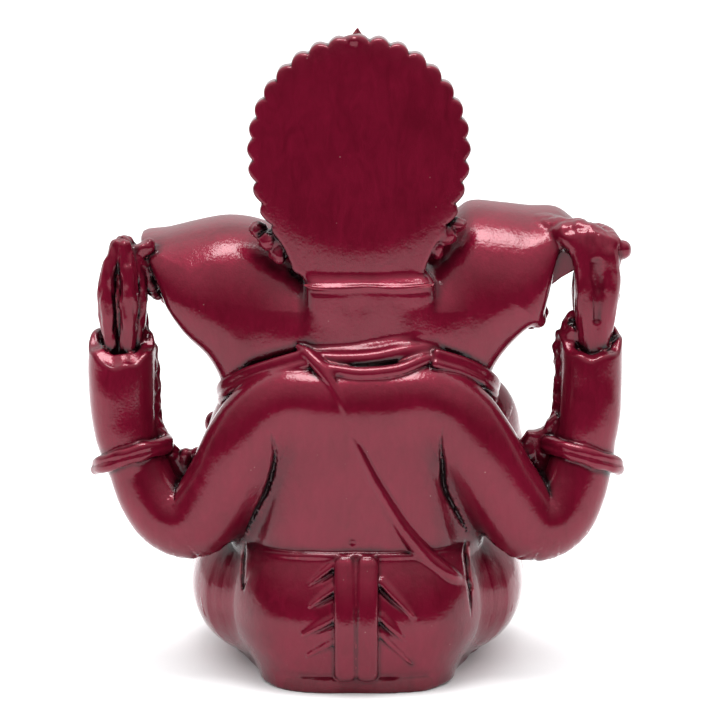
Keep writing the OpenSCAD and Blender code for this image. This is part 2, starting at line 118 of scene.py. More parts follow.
def join(k, *forms):
    def field(p):
        d = forms[0](p)
        for f in forms[1:]:
            near = np.flatnonzero(f.gap(p) < d + k)
            if len(near):
                d[near] = blend_min(d[near], f(p[near]), k)
        return d
    return Form(field, np.min([f.low for f in forms], 0), np.max([f.high for f in forms], 0))


def carve(base, k, *tools):
    def field(p):
        d = base.field(p)
        for t in tools:
            near = np.flatnonzero(t.gap(p) < k - d)
            if len(near):
                d[near] = blend_max(d[near], -t(p[near]), k)
        return d
    return Form(field, base.low, base.high)


def clip(base, k, limit):
    """base kept where limit(p) is negative."""
    return Form(lambda p: blend_max(base.field(p), limit(p), k), base.low, base.high)


def swell(base, amount, margin=0.6):
    """base pushed out by amount(p) millimetres."""
    return Form(lambda p: base.field(p) - amount(p), base.low - margin, base.high + margin)


def turn_matrix(turn):
    x, y, z = np.radians(turn)
    rx = np.array([[1, 0, 0], [0, math.cos(x), -math.sin(x)], [0, math.sin(x), math.cos(x)]])
    ry = np.array([[math.cos(y), 0, math.sin(y)], [0, 1, 0], [-math.sin(y), 0, math.cos(y)]])
    rz = np.array([[math.cos(z), -math.sin(z), 0], [math.sin(z), math.cos(z), 0], [0, 0, 1]])
    return rz @ ry @ rx


def placed(form, centre, turn=(0, 0, 0)):
    """A form drawn round the origin, turned and then moved."""
    m, c = turn_matrix(turn), np.array(centre, float)
    corners = np.array([[x, y, z] for x in (0, 1) for y in (0, 1) for z in (0, 1)])
    corners = (form.low + corners * (form.high - form.low)) @ m.T + c
    return Form(lambda p: form((p - c) @ m), corners.min(0), corners.max(0))


def ball(centre, radii, turn=(0, 0, 0)):
    r = np.array(np.broadcast_to(radii, 3), float)

    def field(p):
        a = np.sqrt(((p / r) ** 2).sum(1)) + 1e-9
        b = np.sqrt(((p / r ** 2) ** 2).sum(1)) + 1e-9
        return a * (a - 1) / b
    return placed(Form(field, -r, r), centre, turn)


def ring(centre, turn, radius, section, squash=1.0):
    def field(p):
        q = np.hypot(p[:, 0], p[:, 1]) - radius
        return np.hypot(q, p[:, 2] * squash) - section
    edge = radius + section
    return placed(Form(field, [-edge, -edge, -section], [edge, edge, section]), centre, turn)


def smooth_points(corners, steps):
    """Points on the smooth curve between the middle two of each four corners."""
    return [0.5 * (2 * b + (c - a) * t + (2 * a - 5 * b + 4 * c - d) * t ** 2 + (3 * b - a - 3 * c + d) * t ** 3)
            for a, b, c, d in corners for t in np.arange(steps) / steps]


def rounded(stations, steps=3):
    """Stations with smooth ones put between them."""
    s = np.array(stations, float)
    ends = np.vstack([2 * s[0] - s[1], s, 2 * s[-1] - s[-2]])
    return np.array(smooth_points([ends[i:i + 4] for i in range(len(s) - 1)], steps) + [s[-1]])


def limb(stations, deep=1.0, marks_each=3):
    """A round limb along a smooth line through [x, y, z, radius] stations; deep flattens it along y."""
    k = np.array([1, deep, 1])
    spine = np.array(stations, float)
    spine[:, :3] *= k
    marks = rounded(spine, marks_each)
    reach = (marks[:, :3] ** 2).sum(1)
    e = np.vstack([2 * spine[0] - spine[1], spine, 2 * spine[-1] - spine[-2]])
    a, b, c, d = e[:-3], e[1:-2], e[2:-1], e[3:]
    curve = np.stack([b, (c - a) / 2, (2 * a - 5 * b + 4 * c - d) / 2, (3 * b - a - 3 * c + d) / 2], 1)
    last = len(spine) - 1

    def field(p):
        p = p * k
        far = (p * p).sum(1)[:, None] - 2 * p @ marks[:, :3].T + reach
        run = (np.sqrt(np.maximum(far, 0)) - marks[:, 3]).argmin(1) / marks_each
        for turn in range(3):
            i = np.minimum(run.astype(int), last - 1)
            t = (run - i)[:, None]
            w = curve[i]
            at = w[:, 0] + t * (w[:, 1] + t * (w[:, 2] + t * w[:, 3]))
            q = p - at[:, :3]
            if turn < 2:
                going = (w[:, 1] + t * (2 * w[:, 2] + 3 * t * w[:, 3]))[:, :3]
                shift = (q * going).sum(1) / ((going * going).sum(1) + 1e-9)
                run = np.clip(run + np.clip(shift, -0.3, 0.3), 0, last)
        return np.sqrt((q * q).sum(1)) - at[:, 3]
    r = marks[:, 3:]
    return Form(field, ((marks[:, :3] - r) / k).min(0), ((marks[:, :3] + r) / k).max(0))


def cord(points, r):
    return limb([[*p, r] for p in points])


def beads(points, r, count):
    """Balls set evenly along a smooth line."""
    s = rounded([[*p, 0] for p in points], 8)[:, :3]
    run = np.concatenate([[0], np.cumsum(np.linalg.norm(np.diff(s, axis=0), axis=1))])
    at = np.linspace(0, run[-1], count)
    spots = np.stack([np.interp(at, run, s[:, i]) for i in range(3)], 1)
    return join(0.2, *[ball(c, r) for c in spots])


def bead_ring(centre, turn, radius, r, count, tall=1.0):
    """Balls set evenly round a circle."""
    sector = 2 * math.pi / count

    def field(p):
        a = np.arctan2(p[:, 1], p[:, 0])
        a -= np.round(a / sector) * sector
        q = np.hypot(p[:, 0], p[:, 1])
        return np.sqrt((q * np.cos(a) - radius) ** 2 + (q * np.sin(a)) ** 2 + (p[:, 2] / tall) ** 2) - r
    edge = radius + r
    return placed(Form(field, [-edge, -edge, -r * tall], [edge, edge, r * tall]), centre, turn)


def stack(sections, power, margin=0.5):
    """A body of squarish sections [z, half width, back y, front y, centre x]."""
    s = rounded(sections, 12)
    z = s[:, 0]

    def field(p):
        a, back, front, cx = (np.interp(p[:, 2], z, s[:, i]) for i in (1, 2, 3, 4))
        b = (back - front) / 2
        u = np.abs(p[:, 0] - cx) / a
        v = np.abs(p[:, 1] - (back + front) / 2) / b
        side = ((u ** power + v ** power) ** (1 / power) - 1) * np.minimum(a, b)
        return blend_max(side, np.maximum(z[0] - p[:, 2], p[:, 2] - z[-1]), 0.8)
    wide = (s[:, 1] + np.abs(s[:, 4])).max() + margin
    return Form(field, [-wide, s[:, 3].min() - margin, z[0]], [wide, s[:, 2].max() + margin, z[-1]])


def turned(centre, profile, flutes=0, depth=0.0):
    """A body of revolution from [z, radius] points, with optional flutes round it."""
    z, r = np.array(profile, float).T

    def field(p):
        q = np.hypot(p[:, 0], p[:, 1])
        edge = np.interp(p[:, 2], z, r)
        if flutes:
            edge = edge - depth * np.abs(np.sin(np.arctan2(p[:, 1], p[:, 0]) * flutes / 2)) ** 3
        return blend_max((q - edge) * 0.8, np.maximum(z[0] - p[:, 2], p[:, 2] - z[-1]), 0.4)
    edge = r.max() + 0.2
    return placed(Form(field, [-edge, -edge, z[0]], [edge, edge, z[-1]]), centre)


def outline_distance(x, z, points):
    """Signed distance to a closed outline in the x, z plane."""
    n = len(points)
    best = np.full(x.shape, 1e9)
    inside = np.zeros(x.shape, bool)
    for i in range(n):
        (ax, az), (bx, bz) = points[i], points[(i + 1) % n]
        ex, ez = bx - ax, bz - az
        t = np.clip(((x - ax) * ex + (z - az) * ez) / (ex * ex + ez * ez), 0, 1)
        best = np.minimum(best, (x - ax - t * ex) ** 2 + (z - az - t * ez) ** 2)
        crosses = (az > z) != (bz > z)
        inside ^= crosses & (x < ex * (z - az) / (ez if ez else 1e-9) + ax)
    return np.sqrt(best) * np.where(inside, -1, 1)


def outline_map(points, margin=7.0, step=0.2):
    """outline_distance worked out once on a fine plan and read back smoothly."""
    low = np.min(points, 0) - margin
    shape = np.ceil((np.max(points, 0) + margin - low) / step).astype(int) + 2
    x, z = np.meshgrid(low[0] + np.arange(shape[0]) * step, low[1] + np.arange(shape[1]) * step, indexing="ij")
    plan = outline_distance(x.ravel(), z.ravel(), points)

    def read(px, pz):
        u = np.clip((px - low[0]) / step, 0, shape[0] - 1.001)
        v = np.clip((pz - low[1]) / step, 0, shape[1] - 1.001)
        i, j = u.astype(int), v.astype(int)
        u, v = u - i, v - j
        at = i * shape[1] + j
        near = plan[at] + (plan[at + 1] - plan[at]) * v
        at = at + shape[1]
        return near + (plan[at] + (plan[at + 1] - plan[at]) * v - near) * u
    return read


def round_outline(points, steps=4):
    """A closed outline made smooth."""
    p = np.array(points, float)
    n = len(p)
    return np.array(smooth_points([p[[(i - 1) % n, i, (i + 1) % n, (i + 2) % n]] for i in range(n)], steps))


def ripple(p, size, seed=0.0):
    """A soft repeatable unevenness between -1 and 1."""
    q = p * (2 * math.pi / size)
    x, y, z = q[:, 0] + seed, q[:, 1] + 2.3 * seed, q[:, 2] - 1.7 * seed
    return (np.sin(x + 1.3 * np.sin(0.7 * y + 0.4)) + np.sin(1.1 * y + 1.1 * np.sin(0.9 * z))
            + np.sin(0.9 * z + 1.2 * np.sin(0.8 * x))) / 3


def uneven(base, amount, size, seed=0.0):
    """base with a soft unevenness of so many millimetres."""
    return swell(base, lambda p: amount * ripple(p, size, seed))


# ---------------------------------------------------------------------------
# The figure's forms. It faces -Y and its left hand is at +X.
# ---------------------------------------------------------------------------
parts = {}


def part(node, form, cell=0.5, soft=0.6, yields=0.0):
    """A node's form, its mesh cell, how softly it runs into its neighbours and how much it leaves to them."""
    parts[node] = (form, cell, soft, yields)


def both(side, points):
    """Points drawn for the left side, mirrored for the right."""
    return [[side * q[0], *q[1:]] for q in points]


# ---- Slab, seat and cloth at the back ----
def hull_outline(circles, n=20):
    """The outline round several circles [x, y, radius]."""
    turns = np.arange(n) * 2 * math.pi / n
    dots = sorted((x + r * math.cos(a), y + r * math.sin(a)) for x, y, r in circles for a in turns)
    chains = []
    for run in (dots, dots[::-1]):
        chain = []
        for d in run:
            while len(chain) > 1 and ((chain[-1][0] - chain[-2][0]) * (d[1] - chain[-2][1])
                                      - (chain[-1][1] - chain[-2][1]) * (d[0] - chain[-2][0])) <= 0:
                chain.pop()
            chain.append(d)
        chains += chain[:-1]
    return chains


slab_outline = hull_outline([[s * x, y, r] for s in (LEFT, RIGHT)
                             for x, y, r in ((7, 15.5, 9), (17.5, -11, 8), (11.5, -27, 12))])
slab_plan = outline_map(slab_outline)


def slab_field(p):
    side = slab_plan(p[:, 0], p[:, 1]) + 0.45 * ripple(p * [1, 1, 0], 9, 0.6) - 0.3
    return blend_max(side + 0.12 * (3 - p[:, 2]), np.abs(p[:, 2] - 1.4) - 1.4, 0.9)


part("base_slab", Form(slab_field, [-26.4, -39.8, 0], [26.4, 25.6, 2.9]), 0.5, 1.3)

seat_rows = [
    [0.1, 18.2, 23.9, -6, 0], [2.4, 18.6, 24.4, -6, 0], [5, 19.3, 25.1, -6, 0], [9, 20.6, 25.8, -6, 0],
    [13, 21, 26.1, -6, 0], [17, 21, 25.4, -6, 0], [21, 20.8, 23.9, -6, 0], [25.2, 20.3, 21.6, -6, 0],
]
plain_seat = stack(seat_rows, 3.3)
tucks = [
    [4.4, 22.8, 8.8, 20.2, 1], [4.4, 18.8, 8.6, 16.5, 1], [4.4, 13.7, 9.8, 11.2, 0.8], [4.4, 9.4, 9.2, 7, 0.5],
    [-4.4, 19.9, -10.2, 14.6, 1.15], [-4.4, 13.9, -8.4, 10.2, 1], [-4.2, 10.9, -10, 5.2, 0.6],
]


def seat_back(z):
    rows = np.array(seat_rows)
    return float(np.interp(z, rows[:, 0], rows[:, 2]))


def tuck(x0, z0, x1, z1, size, lift, proud):
    """One side of a short pleat fanning from the tail: a groove, or the fold above it."""
    steps = []
    for t, r in ((0, 0.62), (0.45, 0.55), (1, 0.1)):
        z = z0 + (z1 - z0) * t + lift * (1 - 0.5 * t)
        steps.append([x0 + (x1 - x0) * t, seat_back(z) + proud * (1 - 0.3 * t), z, r * size])
    return limb(steps)


hips = [limb([[s * 14, 9, 14, 10.2], [s * 18.6, 3, 14, 11.8]]) for s in (LEFT, RIGHT)]
seat = join(5, plain_seat, *hips)
seat = carve(seat, 0.35, *[tuck(*t, 0, 0.2) for t in tucks])
seat = join(0.8, seat, *[tuck(*t, 1.1, -0.25) for t in tucks])
seat = carve(seat, 0.5, *[limb([[s * 20.4, 18.8, 26.4, 0.7], [s * 20.7, 18.4, 21.4, 0.55], [s * 21, 17.6, 18.2, 0.1]])
                          for s in (LEFT, RIGHT)])
part("seat", uneven(seat, 0.12, 17, 1.1), 0.4, 1.2, 0.2)


def tail_strip(middle, half, thick):
    def field(p):
        across = (p[:, 0] - middle) / half
        over = plain_seat.field(p) - thick * (1 - 0.3 * across ** 2)
        ends = np.maximum(2.2 - p[:, 2], p[:, 2] - 25.9)
        return blend_max(blend_max(over, (np.abs(across) - 1) * half, 0.9), ends, 2)
    return Form(field, [middle - half, 15, 2.2], [middle + half, 27.9, 25.9])


part("dhoti_tail", carve(join(0.5, tail_strip(2.2, 2.05, 1.25), tail_strip(-1.8, 2.05, 1.35)), 0.3,
                         limb([[0.3, 22.4, 26, 0.7], [0.3, 25.6, 21, 0.62], [0.25, 27, 16, 0.5],
                               [0.25, 27.6, 11, 0.05]]),
                         cord([[-3.8, 27.3, 5.2], [-3, 26.8, 4.6]], 0.6)), 0.35, 0.3)

rim_half = [[0, 21.35, 25.2], [8, 21.15, 25.2], [13, 20.2, 25.2], [17, 17.6, 25.2], [19.2, 13, 25.3], [19.4, 4, 25.4]]
rim = [[-x, y, z] for x, y, z in rim_half[:0:-1]] + rim_half
part("waist_band", uneven(cord(rim, 0.5), 0.12, 7, 2.0), 0.3, 0.8, -0.2)

# Fan of pleats over the ankles, thinner folds spreading towards the hem
pleat_rows = [[2.6, 7.6, -33.5, -38.8, 0], [7, 6.9, -33.6, -38.6, 0], [13, 5.4, -32, -37.6, 0],
              [18.5, 3.7, -29, -35.4, 0], [22.6, 2, -25, -31, 0]]
pleats = stack(pleat_rows, 2.6)
pleats = swell(pleats, lambda p: 0.42 * np.abs(np.sin(p[:, 0] * 5.6 / (1 + (23 - p[:, 2]) * 0.16))) - 0.25)
part("front_pleats", pleats, 0.4, 0.4)

# ---- Body ----
torso = stack([
    [24.4, 19.7, 20.9, -6, 0], [28, 19.5, 21.3, -7, 0], [32, 18.8, 21.5, -8, 0], [40, 17.2, 21.6, -9, 0],
    [47, 16.4, 21.6, -10, 0], [49.5, 16.4, 21.55, -10, 0], [52, 16, 21.3, -10, 0], [54, 15.6, 20.8, -10, 0],
    [56, 14.8, 20, -9, -0.4], [57.6, 13.8, 18.9, -8, -0.8], [59, 12.8, 16.6, -7, -1.2], [60.4, 12, 13.6, -6, -1.6],
    [62, 10, 10.4, -6, -2],
], 3.4)
chest = [ball([s * 6.4, -9, 48.5], [8.2, 7, 6.2], [0, 0, 0]) for s in (LEFT, RIGHT)]
torso = join(3.5, torso, *chest)
torso = join(2.5, torso, *[limb([[s * 17, 8, 23, 5.5], [s * 18, 9.4, 33, 6.5], [s * 17, 10, 44, 6]])
                           for s in (LEFT, RIGHT)])
underarm = {s: limb([[s * 15.7, 22, 48.8, 0.3], [s * 15.3, 21.9, 46, 0.9], [s * 15.3, 21.8, 42, 1.2],
                     [s * 16.8, 21.2, 36.6, 1.55],
                     [s * 19.4, 20, 31.4, 1.9], [s * 20.9, 18, 27.6, 2.1]]) for s in (LEFT, RIGHT)}
torso = carve(torso, 0.6, underarm[LEFT], underarm[RIGHT])
thread_line = [[1.3, 21.3, 47.8, 0.25], [0.2, 21.4, 46.1, 0.5], [-2.8, 21.4, 40, 0.7], [-5.7, 21.1, 34.7, 1],
               [-8.7, 20.7, 29.8, 1.3], [-12.4, 20.1, 25.1, 1.6], [-16.8, 20.3, 21.6, 1.4], [-19, 18.8, 20, 0.7]]
torso = carve(torso, 0.5, ball([0.9, 22, 27.8], [0.8, 1, 0.7]),
              limb([[x - 0.86 * (r + 0.3), 22, z + 0.5 * (r + 0.3), 0.25 + 0.4 * r]
                    for x, y, z, r in thread_line[1:-2]]))
part("torso", torso, 0.5, 3.2, 0.5)

belly = carve(ball([0, -8, 36.2], [19.6, 20.6, 15.2]), 1.4, ball([0, -29.2, 33.6], [1.3, 1.6, 1.5]))
part("belly", belly, 0.5, 1.6, 0.3)

neck = stack([[58, 11.9, 13.8, -6, -2.4], [62, 11.9, 13.9, -6, -2.4], [66, 11.9, 13.9, -6, -2.4],
              [70, 11.9, 13.8, -6, -2.4],
              [73.6, 11.9, 13.6, -6, -2.4], [74.5, 11.9, 13, -6, -2.2], [75.6, 11.8, 12, -6, -1.4],
              [77.4, 11, 10.4, -6, -0.6]], 9)
neck = join(0.5, neck, limb([[-14.4, 12.4, 74.4, 0.1], [-12, 13.4, 74.1, 0.3], [-7, 13.5, 73.6, 0.3],
                             [-2, 13.5, 73.9, 0.34], [3, 13.5, 73.6, 0.3], [7.6, 13.4, 73.7, 0.3],
                             [9.6, 12.6, 74.1, 0.1]]))
neck = carve(neck, 0.4, cord([[-14, 13.6, 73], [-8, 14.2, 72.7], [-2, 14.3, 72.8], [4, 14.2, 72.6], [9, 13.6, 72.8]],
                             0.42))
neck = uneven(neck, 0.1, 8, 1.7)
part("neck", neck, 0.36, 2.0)

scarf = join(
    1.3,
    limb([[9.4, 13.2, 62.4, 0.8], [3.5, 13.4, 61.9, 1.2], [-3, 13.4, 62.6, 1.4], [-8, 13.2, 63.7, 1.4],
          [-11.8, 12.7, 64.9, 1.1], [-14.6, 12, 64, 0.8]]),
    limb([[9, 15, 61.4, 0.9], [3, 15.4, 60.7, 1.5], [-3, 15.5, 61, 1.6], [-8.6, 14.9, 62, 1.6], [-14, 13, 62.6, 1.1]]),
    limb([[6.4, 17.4, 60, 0.8], [3, 18.2, 59.2, 1.2], [-1, 18.6, 58.8, 1.35], [-7, 18.1, 59.3, 1.3],
          [-12, 15.8, 60.7, 1.15], [-15.4, 13.4, 61.2, 0.8]]),
    limb([[10.8, 14, 62.9, 0.5], [9.2, 15.6, 62, 1.05], [7.2, 17.6, 60.2, 1.15], [4.6, 19.6, 57.2, 1],
          [2.9, 20.9, 54, 0.75], [2, 21.5, 51.4, 0.2]]),
)
scarf = carve(scarf, 0.35, cord([[6, 20, 60.6], [4.4, 20.8, 58], [2.4, 22, 55]], 0.5))
for s, path in ((LEFT, [[9.6, 15.4, 61.8], [15.6, 14.4, 59.8], [21, 12, 57.4], [24.8, 8, 54.4], [24.6, 1, 51.5],
                        [18, -8, 52]]),
                (RIGHT, [[-14.6, 15, 61.8], [-19.6, 13, 59.8], [-23.6, 10.6, 57.2], [-25.6, 6, 54.2], [-24, 0, 51.5],
                         [-18, -8, 52]])):
    low = [[x - s * 0.3, y + 1.1, z - 1.7] for x, y, z in path]
    middle = [[x - s * 0.15, y + 0.3, z - 0.85] for x, y, z in path]
    scarf = join(0.5, scarf, cord(path, 0.95), cord(middle, 0.9), cord(low, 0.9))
part("neck_scarf", scarf, 0.35, 0.5)

thread = join(0.4, limb(thread_line),
              limb([[x + 0.5 * r, y + 0.1, z + 0.1, 0.55 * r] for x, y, z, r in thread_line[2:]]))
part("back_thread", thread, 0.3, 0.5, -0.2)
front_line = [[13.6, -8.4, 54.4], [9.6, -15.6, 50.4], [6, -21, 47.2], [1, -26.6, 42.6], [-4, -28.4, 37.4],
              [-9, -26.8, 31.6], [-13.4, -22.6, 27.6], [-17.6, -14.6, 25.6]]
part("front_thread", join(0.2, *[cord([[x, y, z + dz] for x, y, z in front_line], 0.62) for dz in (-0.95, 0, 0.95)]),
     0.32, 0.25)

# ---- Head ----
skull = join(
    3.2,
    ball([0, -4.4, 77.6], [12.4, 11.6, 11.6]),
    *[ball([s * 4.9, -9.6, 82.4], [6.2, 6, 5.4]) for s in (LEFT, RIGHT)],
    *[ball([s * 6.8, -8.6, 69.4], [6.2, 7.4, 6.4]) for s in (LEFT, RIGHT)],
    ball([0, -8, 64.6], [5.8, 6.6, 4.4]),
)
skull = carve(skull, 1.6, *[ball([s * 8.2, -16.6, 75.4], [3, 2.2, 2.2]) for s in (LEFT, RIGHT)])
for s in (LEFT, RIGHT):
    lid = both(s, [[4.6, -15.9, 75.1], [6.6, -16.3, 76.7], [9, -15.3, 76.6], [11, -12.9, 74.9]])
    under = both(s, [[4.8, -15.9, 74.9], [6.8, -16.1, 73.5], [9, -15.1, 73.3], [10.8, -13, 74.4]])
    brow = both(s, [[3.2, -16.2, 77.6], [6, -16.4, 79.6], [9.4, -14.6, 79.4], [11.6, -11.4, 77.4]])
    skull = join(0.6, skull, ball([s * 7.9, -14, 75], [3.2, 2.2, 1.7], [0, 0, s * 20]))
    skull = join(0.5, skull, cord(lid, 0.5), cord(under, 0.42), cord(brow, 0.5))
    skull = carve(skull, 0.2, ring([s * 7.7, -16.3, 75.1], [90, 0, s * 18], 0.95, 0.22))
skull = join(0.3, skull, limb([[0, -15.9, 79.6, 0.5], [0, -16.4, 81.6, 0.75], [0, -16, 83.6, 0.3]]),
             *[cord([[-2, -16, z], [0, -16.7, z], [2, -16, z]], 0.32) for z in (80.4, 81.7, 83)])
skull = carve(skull, 0.8, cord([[-5.6, -15.2, 66.4], [0, -16.6, 64.4], [5.6, -15.2, 66.4]], 0.9))
part("head", clip(skull, 0.5, lambda p: p[:, 2] - 85), 0.4, 1.6)

trunk = limb([
    [0, -11.5, 77, 6.2], [0, -17.6, 72.4, 6], [0, -22.2, 66, 5.5], [0.3, -24.8, 58.6, 4.8], [2.4, -26.2, 51.4, 4.1],
    [6.4, -28.2, 46, 3.5], [10.8, -30.6, 43.6, 3], [14, -32, 44.4, 2.7],
])
trunk = swell(trunk, lambda p: 0.16 * np.sin((p[:, 2] + 0.7 * p[:, 0]) * 3.3) * (p[:, 2] < 70) - 0.05)
trunk = carve(trunk, 0.5, *[ball([15.4, -32.8 + d, 46.2], [0.7, 0.6, 1.2]) for d in (-0.6, 1)])
part("trunk", trunk, 0.4, 2.4)
part("left_tusk", limb([[4.4, -14.5, 69.8, 2], [6, -20.6, 66.2, 1.75], [7.2, -24.8, 64.2, 1.35],
                        [8, -28, 64.1, 0.6]]), 0.3, 0.6)
part("right_tusk", join(0.15, limb([[-4.4, -14.5, 69.8, 2], [-5.6, -19.4, 67, 1.8], [-6, -21.2, 66.1, 1.7]]),
                        ring([-5.5, -19, 67.3], [62, 0, -14], 1.75, 0.4)), 0.3, 0.6)


def ear(outline, crest, low_z, back_y, reach_y, heart, nape):
    """A thick fan-shaped ear: its back curves up and over to a forward top edge, its front is hollowed."""
    edge_line = round_outline(outline)
    plan = outline_map(edge_line)
    crest = rounded(sorted(crest), 6)

    def field(p):
        x, y, z = p.T
        inside = -plan(x, z)
        height = np.interp(x, crest[:, 0], crest[:, 1]) + 0.4 - low_z
        climb = np.clip((z - low_z) / height, 0, 1)
        curve = (1 - climb ** 2.25 * 0.992) ** (1 / 2.25)
        beside = np.clip(1.15 - np.abs(x - nape) / 11, 0, 1) * np.clip((76 - z) / 7, 0, 1)
        over = back_y - reach_y * (1 - curve) + 2 * beside * beside * (3 - 2 * beside)
        rise = np.clip(inside / 7.5, 0, 1)
        back = over - 4.2 * (1 - np.sqrt(1 - (1 - rise) ** 2 * 0.999)) * (1 - climb ** 2)
        hollow = np.clip(1 - np.hypot(x - heart[0], (z - heart[1]) * 0.8) / 11, 0, 1)
        front = np.minimum(4.0 - 13 * climb ** 3, over - 2.4) - 1.2 * rise + 2.4 * hollow
        steep = 1 / np.sqrt(1 + (reach_y / height * climb / curve) ** 2)
        faces = blend_max((y - back) * steep, (front - y) * 0.75, 1.2)
        return blend_max(faces, -inside, 1.2)
    low, high = edge_line.min(0), edge_line.max(0)
    return Form(field, [low[0], back_y - reach_y - 4, low[1]], [high[0], back_y + 0.5, high[1]])


left_crest = [[4, 77], [10, 79.6], [15, 81.8], [20, 83.2], [25, 83.6], [30, 82.8], [35.4, 81.4], [40, 80.6]]
left_ear = ear([[2, 74]] + left_crest + [
    [39.4, 77.6], [36.8, 72.6], [35.2, 68.4], [32, 63.8], [28, 60], [25.8, 56.4], [24.8, 53], [24, 50.6], [19, 53.6],
    [11, 57], [4, 58.6], [1.4, 64], [1, 70]], left_crest, 61.5, 11.6, 19.4, [23, 70], 7)
right_crest = [[-5, 77], [-12, 80], [-18, 84.6], [-21.4, 86.6], [-27, 86.2], [-32, 85.6], [-37, 85.4], [-40.4, 83.2],
               [-43.2, 80.6]]
right_ear = ear([[-4, 74]] + right_crest + [
    [-41.6, 80.4], [-38.8, 79.8], [-36.8, 77], [-35.4, 71.6], [-34.4, 67.6], [-33.8, 65.8], [-31.6, 65], [-28, 61.4],
    [-25.4, 57.6], [-24.4, 54.4], [-21.6, 54.6], [-14, 57.6], [-6, 59], [-3, 66]],
    right_crest, 63, 11.8, 21.4, [-24, 72], -11)
right_ear = join(0.8, right_ear, ball([-33.3, 7.2, 66.4], [1.4, 1.6, 1.4]))
ears = {LEFT: left_ear, RIGHT: right_ear}
for s, side in SIDES:
    part(f"{side}_ear", uneven(ears[s], 0.16, 21, s), 0.45, 1.3)

for s, side in SIDES:
    c = centre_of(f"{side}_earring")
    part(f"{side}_earring", join(0.2, ring(c, [90, 0, 0], 2.3, 0.8), bead_ring(c, [90, 0, 0], 2.3, 1, 8),
                                 ball(c, [1.3, 1.4, 1.3])), 0.28, 0.3)

# ---- Crown ----
plate_rows = np.array([[60, 12.2], [72.6, 12.2], [74.6, 12.3], [77.6, 12.4], [80.4, 13.6], [83.4, 15.4], [87, 17.4],
                       [91.6, 18.9], [95, 19.6], [98.4, 19.8]])
PLATE_TOP, PLATE_R, LOBES = 98.4, 19.8, 32


def plate_field(p):
    x, z = p[:, 0] + 0.3, p[:, 2]
    lift = z - PLATE_TOP
    angle = np.arctan2(np.maximum(lift, 0), np.abs(x))
    round_part = np.hypot(x, lift) - PLATE_R
    low_part = (np.abs(x) - np.interp(z, plate_rows[:, 0], plate_rows[:, 1])) * 0.93
    plain = np.where(lift > 0, round_part, low_part)
    around = np.where(lift > 0, angle, lift / PLATE_R)
    lobe = np.abs(np.cos(around * LOBES / 2))
    fade = np.clip((z - 81) / 4, 0, 1)
    side = plain - 0.95 * fade * (lobe ** 0.8 - 0.35)
    side = blend_max(side, 74.7 + 0.009 * x * x - z, 1.5)
    beyond = np.clip(np.hypot(x, lift) - 16.5, 0, 9) * np.clip(-lift / 9, 0, 1)
    lean = (9.2 - 0.152 * np.clip(lift, -26, 25) - 0.017 * np.minimum(beyond, 4.5) ** 2
            - 0.15 * np.maximum(beyond - 4.5, 0))
    lean = lean - 0.02 * np.clip(plain + 3.6, 0, 7) ** 2 * np.clip(lift / 9 + 1, 0, 1)
    front = lean - 4 - 0.5 * lobe * np.clip((np.hypot(x, lift) - 13) / 3, 0, 1)
    front = front - 0.5 * np.clip(1 - np.abs(np.hypot(x, lift) - 14.6) / 1.1, 0, 1)
    return blend_max(side, blend_max(p[:, 1] - lean, front - p[:, 1], 0.4) * 0.97, 0.8)


plate = Form(plate_field, [-22, -1.5, 74.5], [21.6, 13.4, 120])
plate = join(0.5, plate, ball([0.6, 4.2, 117.4], [2.6, 2.0, 1.5]), ball([0.6, 5, 118], [1.2, 1.4, 0.9]))
for s, z in ((LEFT, 81.6), (RIGHT, 82.6)):
    lump = join(0.5, ball([s * 16, 8.2, z], [2.3, 2.8, 2]), ball([s * 18.2, 7.4, z + 1.8], [1.7, 2, 1.4]),
                ball([s * 14.4, 9, z - 2.4], [1.6, 2, 1.9]))
    plate = join(0.6, plate, uneven(lump, 0.3, 2.6, 0.3))
part("crown_plate", plate, 0.42, 0.8)

CROWN_Y = -6.2
band_z = 84.3
part("crown_band", join(
    0.25, turned([0, CROWN_Y, band_z], [[0, 12.6], [0.8, 13.5], [1.6, 12.9], [3.4, 12.9], [4.2, 13.5], [5, 12.4]]),
    bead_ring([0, CROWN_Y, band_z + 2.5], [0, 0, 0], 13, 0.95, 30)), 0.35, 0.4)
tiers = turned([0, CROWN_Y, band_z + 4.2], [
    [0, 12], [1, 12.4], [3, 12.3], [5.6, 11.4], [7, 10.2], [7.6, 9.6], [8.4, 10], [10.4, 9.9], [13, 8.9], [14.4, 7.4],
    [15, 6.9], [15.8, 7.2], [17.6, 7], [20, 5.9], [21.2, 4.6], [22, 3.6],
], 16, 0.7)
tiers = join(0.25, tiers, bead_ring([0, CROWN_Y, band_z + 11.8], [0, 0, 0], 9.9, 0.8, 26),
             bead_ring([0, CROWN_Y, band_z + 19.2], [0, 0, 0], 7.1, 0.7, 20))
crest_leaf = join(0.4, ball([0, CROWN_Y - 13, band_z + 7.6], [3.6, 1.5, 5.4], [-8, 0, 0]),
                  ball([0, CROWN_Y - 14.2, band_z + 6.4], [1.7, 1, 2.2]))
crest_leaf = join(0.2, crest_leaf, bead_ring([0, CROWN_Y - 14, band_z + 6.4], [82, 0, 0], 2.5, 0.45, 14))
part("crown_dome", join(0.3, tiers, crest_leaf), 0.38, 0.35)
part("crown_finial", turned([0, CROWN_Y, band_z + 25.9], [
    [-0.6, 2.6], [0.4, 3.2], [1.4, 2.9], [2.2, 1.9], [3, 2.1], [4.2, 3], [5.4, 2.6], [7, 1.1], [8.4, 0.45],
    [8.8, 0.1]], 10, 0.25), 0.28, 0.3)

